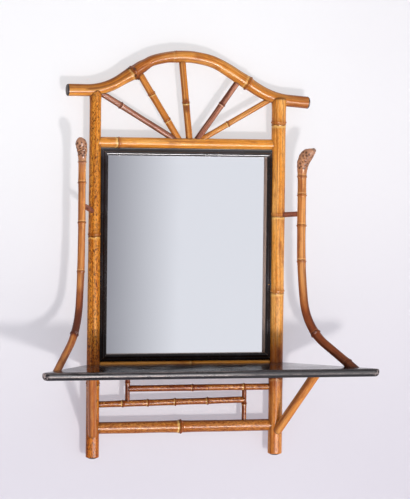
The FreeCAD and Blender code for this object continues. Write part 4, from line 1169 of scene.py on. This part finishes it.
def frame_profile():
    """Distances out from the sight edge and back from the front, once around the moulding."""
    half = BEAD_WIDTH / 2
    round_radius = (half * half + BEAD_RISE * BEAD_RISE) / (2 * BEAD_RISE)
    reach = asin(half / round_radius)
    rows = []
    for share in shares(BEAD_STEPS):
        turn = reach * (2 * share - 1)
        rows.append((half + round_radius * sin(turn), round_radius * (1 - cos(turn))))
    quirk = BEAD_RISE + QUIRK_DROP
    for share in shares(OUTER_STEPS):
        out = BEAD_WIDTH + (FRAME_WIDTH - BEAD_WIDTH) * share
        rows.append((out, quirk + (OUTER_DROP - quirk) * share * share))
    return rows + [(FRAME_WIDTH, FRAME_DEPTH), (FRAME_REBATE, FRAME_DEPTH), (FRAME_REBATE, FRAME_LIP_DEPTH),
                   (0, FRAME_LIP_DEPTH)]


def frame_member(name, lengthways, out_of_frame, half_length, half_across):
    built = bmesh.new()
    loops = []
    for share in shares(FRAME_STEPS):
        loop = []
        for out, depth in frame_profile():
            place = frame_centre + lengthways * ((2 * share - 1) * (half_length + out)) - FRONT * depth
            place = place + out_of_frame * (half_across + out)
            loop.append(built.verts.new(place + FRONT * (FRAME_UNEVEN * noise.noise(place * FRAME_WAVES))))
        loops.append(loop)
    for first, second in pairwise(loops):
        join_loops(built, first, second)
    built.faces.new(loops[0])
    built.faces.new(loops[-1][::-1])
    finish_piece(built, name, "frame_lacquer")


frame_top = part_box("frame_top")[1].z
frame_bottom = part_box("frame_bottom")[0].z
frame_centre = Vector((0, FRAME_FRONT_Y, (frame_top + frame_bottom) / 2))
sight_half_width = POST_X - FRAME_EDGE_FROM_POST - FRAME_WIDTH
sight_half_height = (frame_top - frame_bottom) / 2 - FRAME_WIDTH
for name, out_of_frame in (("frame_top", UP), ("frame_bottom", -UP)):
    frame_member(name, RIGHT, out_of_frame, sight_half_width, sight_half_height)
for name, out_of_frame in (("frame_left", -RIGHT), ("frame_right", RIGHT)):
    frame_member(name, UP, out_of_frame, sight_half_height, sight_half_width)

# Stage: a pale wall behind, a floor below, and cards in front that only reflections see
WALL_Y = 0.02
WALL_TOP_Z = 2.5
WALL_COLOUR = (0.86, 0.85, 0.9)
FLOOR_Z = -1.75
FLOOR_FRONT_Y = -8
FLOOR_COLOUR = (0.8, 0.79, 0.82)
STAGE_HALF = 4
GLOW_LOW = (0.55, 0.51, 0.6)
GLOW_HIGH = (1.0, 1.0, 1.0)
GLOW_RISE = -0.75, 0.2
GLOW_DIM = (0.9, 0.88, 0.9)
GLOW_LEFTWARD = 0.55, 0.1
CARD_Y = -6
CARD_X = -3, 5
CARD_Z = -2, 3
CARD_SWEEP = 1.36, 1.72
CARD_GREY = (0.3, 0.3, 0.34)
CARD_WHITE = (0.8, 0.81, 0.87)
SOFTBOX_Y = -3.2
SOFTBOX_X = -0.6, 2.6
SOFTBOX_Z = -1.65, -1.2
SOFTBOX_COLOUR = (1, 0.96, 0.97, 1)
SOFTBOX_POWER = 90.0


def room(look, colour):
    """Wall or floor paint, seen from one side only; where it is looked at, just over half of it is a painted
    glow, brighter towards the top and the left, that lightens its cast shadows.
    """
    x, z = look.axes()[::2]
    cloud = look.noisy((1.2, 1.2, 1.2), 2.0)
    tint = look.layered(colour, (cloud.eased(0.3, 0.7, 0.0, 0.3), shaded(colour, 0.96)))
    paint = look.node("BsdfPrincipled", {"Base Color": tint, "Roughness": 0.9, "Specular IOR Level": 0.1})
    # painted light: the glow rises towards the top and dims towards the right
    glow = look.layered(GLOW_LOW, (z.eased(*GLOW_RISE), GLOW_HIGH))
    glow = look.layered(glow, (1.0, GLOW_DIM, "MULTIPLY"), (x.eased(*GLOW_LEFTWARD), glow))
    lit = look.node("Emission", {"Color": glow, "Strength": 1.0})
    pale = look.node("MixShader", {0: look.looked_at() * 0.55, 1: paint, 2: lit})
    behind = look.node("NewGeometry").outputs["Backfacing"]
    return look.node("MixShader", {0: behind, 1: pale, 2: look.node("BsdfTransparent")})


def sweep(look):
    """The light that gives the glass its change from grey to white."""
    low, high = CARD_SWEEP
    whiter = look.node("MapRange", {"Value": look.axes()[0], "From Min": low, "From Max": high})
    return look.node("Emission", {"Color": look.layered(CARD_GREY, (whiter, CARD_WHITE)), "Strength": 1.0})


def soft_light(look):
    """The light that draws the fine lines along canes and edges."""
    return look.node("Emission", {"Color": SOFTBOX_COLOUR, "Strength": SOFTBOX_POWER})


def stage_plane(name, corners, shader, *given):
    mesh = bpy.data.meshes.new(name)
    mesh.from_pydata(corners, [], [(0, 1, 2, 3)])
    piece = placed(name, mesh)
    look = new_look(name)
    look.finish(shader(look, *given))
    mesh.materials.append(MATERIALS[name])
    return piece


def reflected_card(name, y, sides, heights, shader):
    (left, right), (low, high) = sides, heights
    piece = stage_plane(name, [(left, y, high), (right, y, high), (right, y, low), (left, y, low)], shader)
    for rays in ("camera", "diffuse", "shadow", "transmission"):
        setattr(piece, "visible_" + rays, False)


wall_foot = [(-STAGE_HALF, WALL_Y, FLOOR_Z), (STAGE_HALF, WALL_Y, FLOOR_Z)]
wall_head = [(STAGE_HALF, WALL_Y, WALL_TOP_Z), (-STAGE_HALF, WALL_Y, WALL_TOP_Z)]
floor_edge = [(-STAGE_HALF, FLOOR_FRONT_Y, FLOOR_Z), (STAGE_HALF, FLOOR_FRONT_Y, FLOOR_Z)]
stage_plane("backdrop", wall_foot + wall_head, room, WALL_COLOUR)
stage_plane("floor", floor_edge + wall_foot[::-1], room, FLOOR_COLOUR)
reflected_card("reflector", CARD_Y, CARD_X, CARD_Z, sweep)
reflected_card("softbox", SOFTBOX_Y, SOFTBOX_X, SOFTBOX_Z, soft_light)

# The key light, low in front, and the sky
KEY_PLACE = Vector((0.3, -3.2, -1.42))
KEY_TARGET = Vector((0, 0, -0.2))
KEY_SIZE = 0.3
KEY_POWER = 68
KEY_COLOUR = (1.0, 0.97, 0.93)
SKY_COLOUR = (0.95, 0.96, 1.0, 1)
SKY_POWER = 0.68
BACKGROUND_COLOUR = (0.93, 0.93, 0.96, 1)
key_light = bpy.data.lights.new("key", "AREA")
key_light.shape = "DISK"
key_light.size = KEY_SIZE
key_light.energy = KEY_POWER
key_light.color = KEY_COLOUR
key = placed("key", key_light)
key.location = KEY_PLACE
key.rotation_euler = (KEY_TARGET - KEY_PLACE).to_track_quat("-Z", "Y").to_euler()

world = bpy.data.worlds.new("studio")
bpy.context.scene.world = world
look = Look(world)
sky = look.node("Background", {"Color": SKY_COLOUR, "Strength": SKY_POWER})
background = look.node("Background", {"Color": BACKGROUND_COLOUR, "Strength": 1.0})
look.finish(look.node("MixShader", {0: look.looked_at(), 1: sky, 2: background}), "OutputWorld")

# Camera
CAMERA_PLACE = Vector((-1.4703, -5.0275, -0.0195))
CAMERA_YAW = 0.2927
CAMERA_PITCH = -0.0309
CAMERA_ROLL = -0.0112
CAMERA_LENS = 179.5
SENSOR = 36.0
camera_data = bpy.data.cameras.new("camera")
camera_data.sensor_fit = "VERTICAL"
camera_data.sensor_height = SENSOR
camera_data.lens = CAMERA_LENS
camera = placed("camera", camera_data)
aim = Euler((pi / 2 + CAMERA_PITCH, 0, -CAMERA_YAW)).to_matrix() @ Matrix.Rotation(-CAMERA_ROLL, 3, "Z")
camera.matrix_world = Matrix.Translation(CAMERA_PLACE) @ aim.to_4x4()
bpy.context.scene.camera = camera
bpy.context.scene.view_settings.view_transform = "Standard"
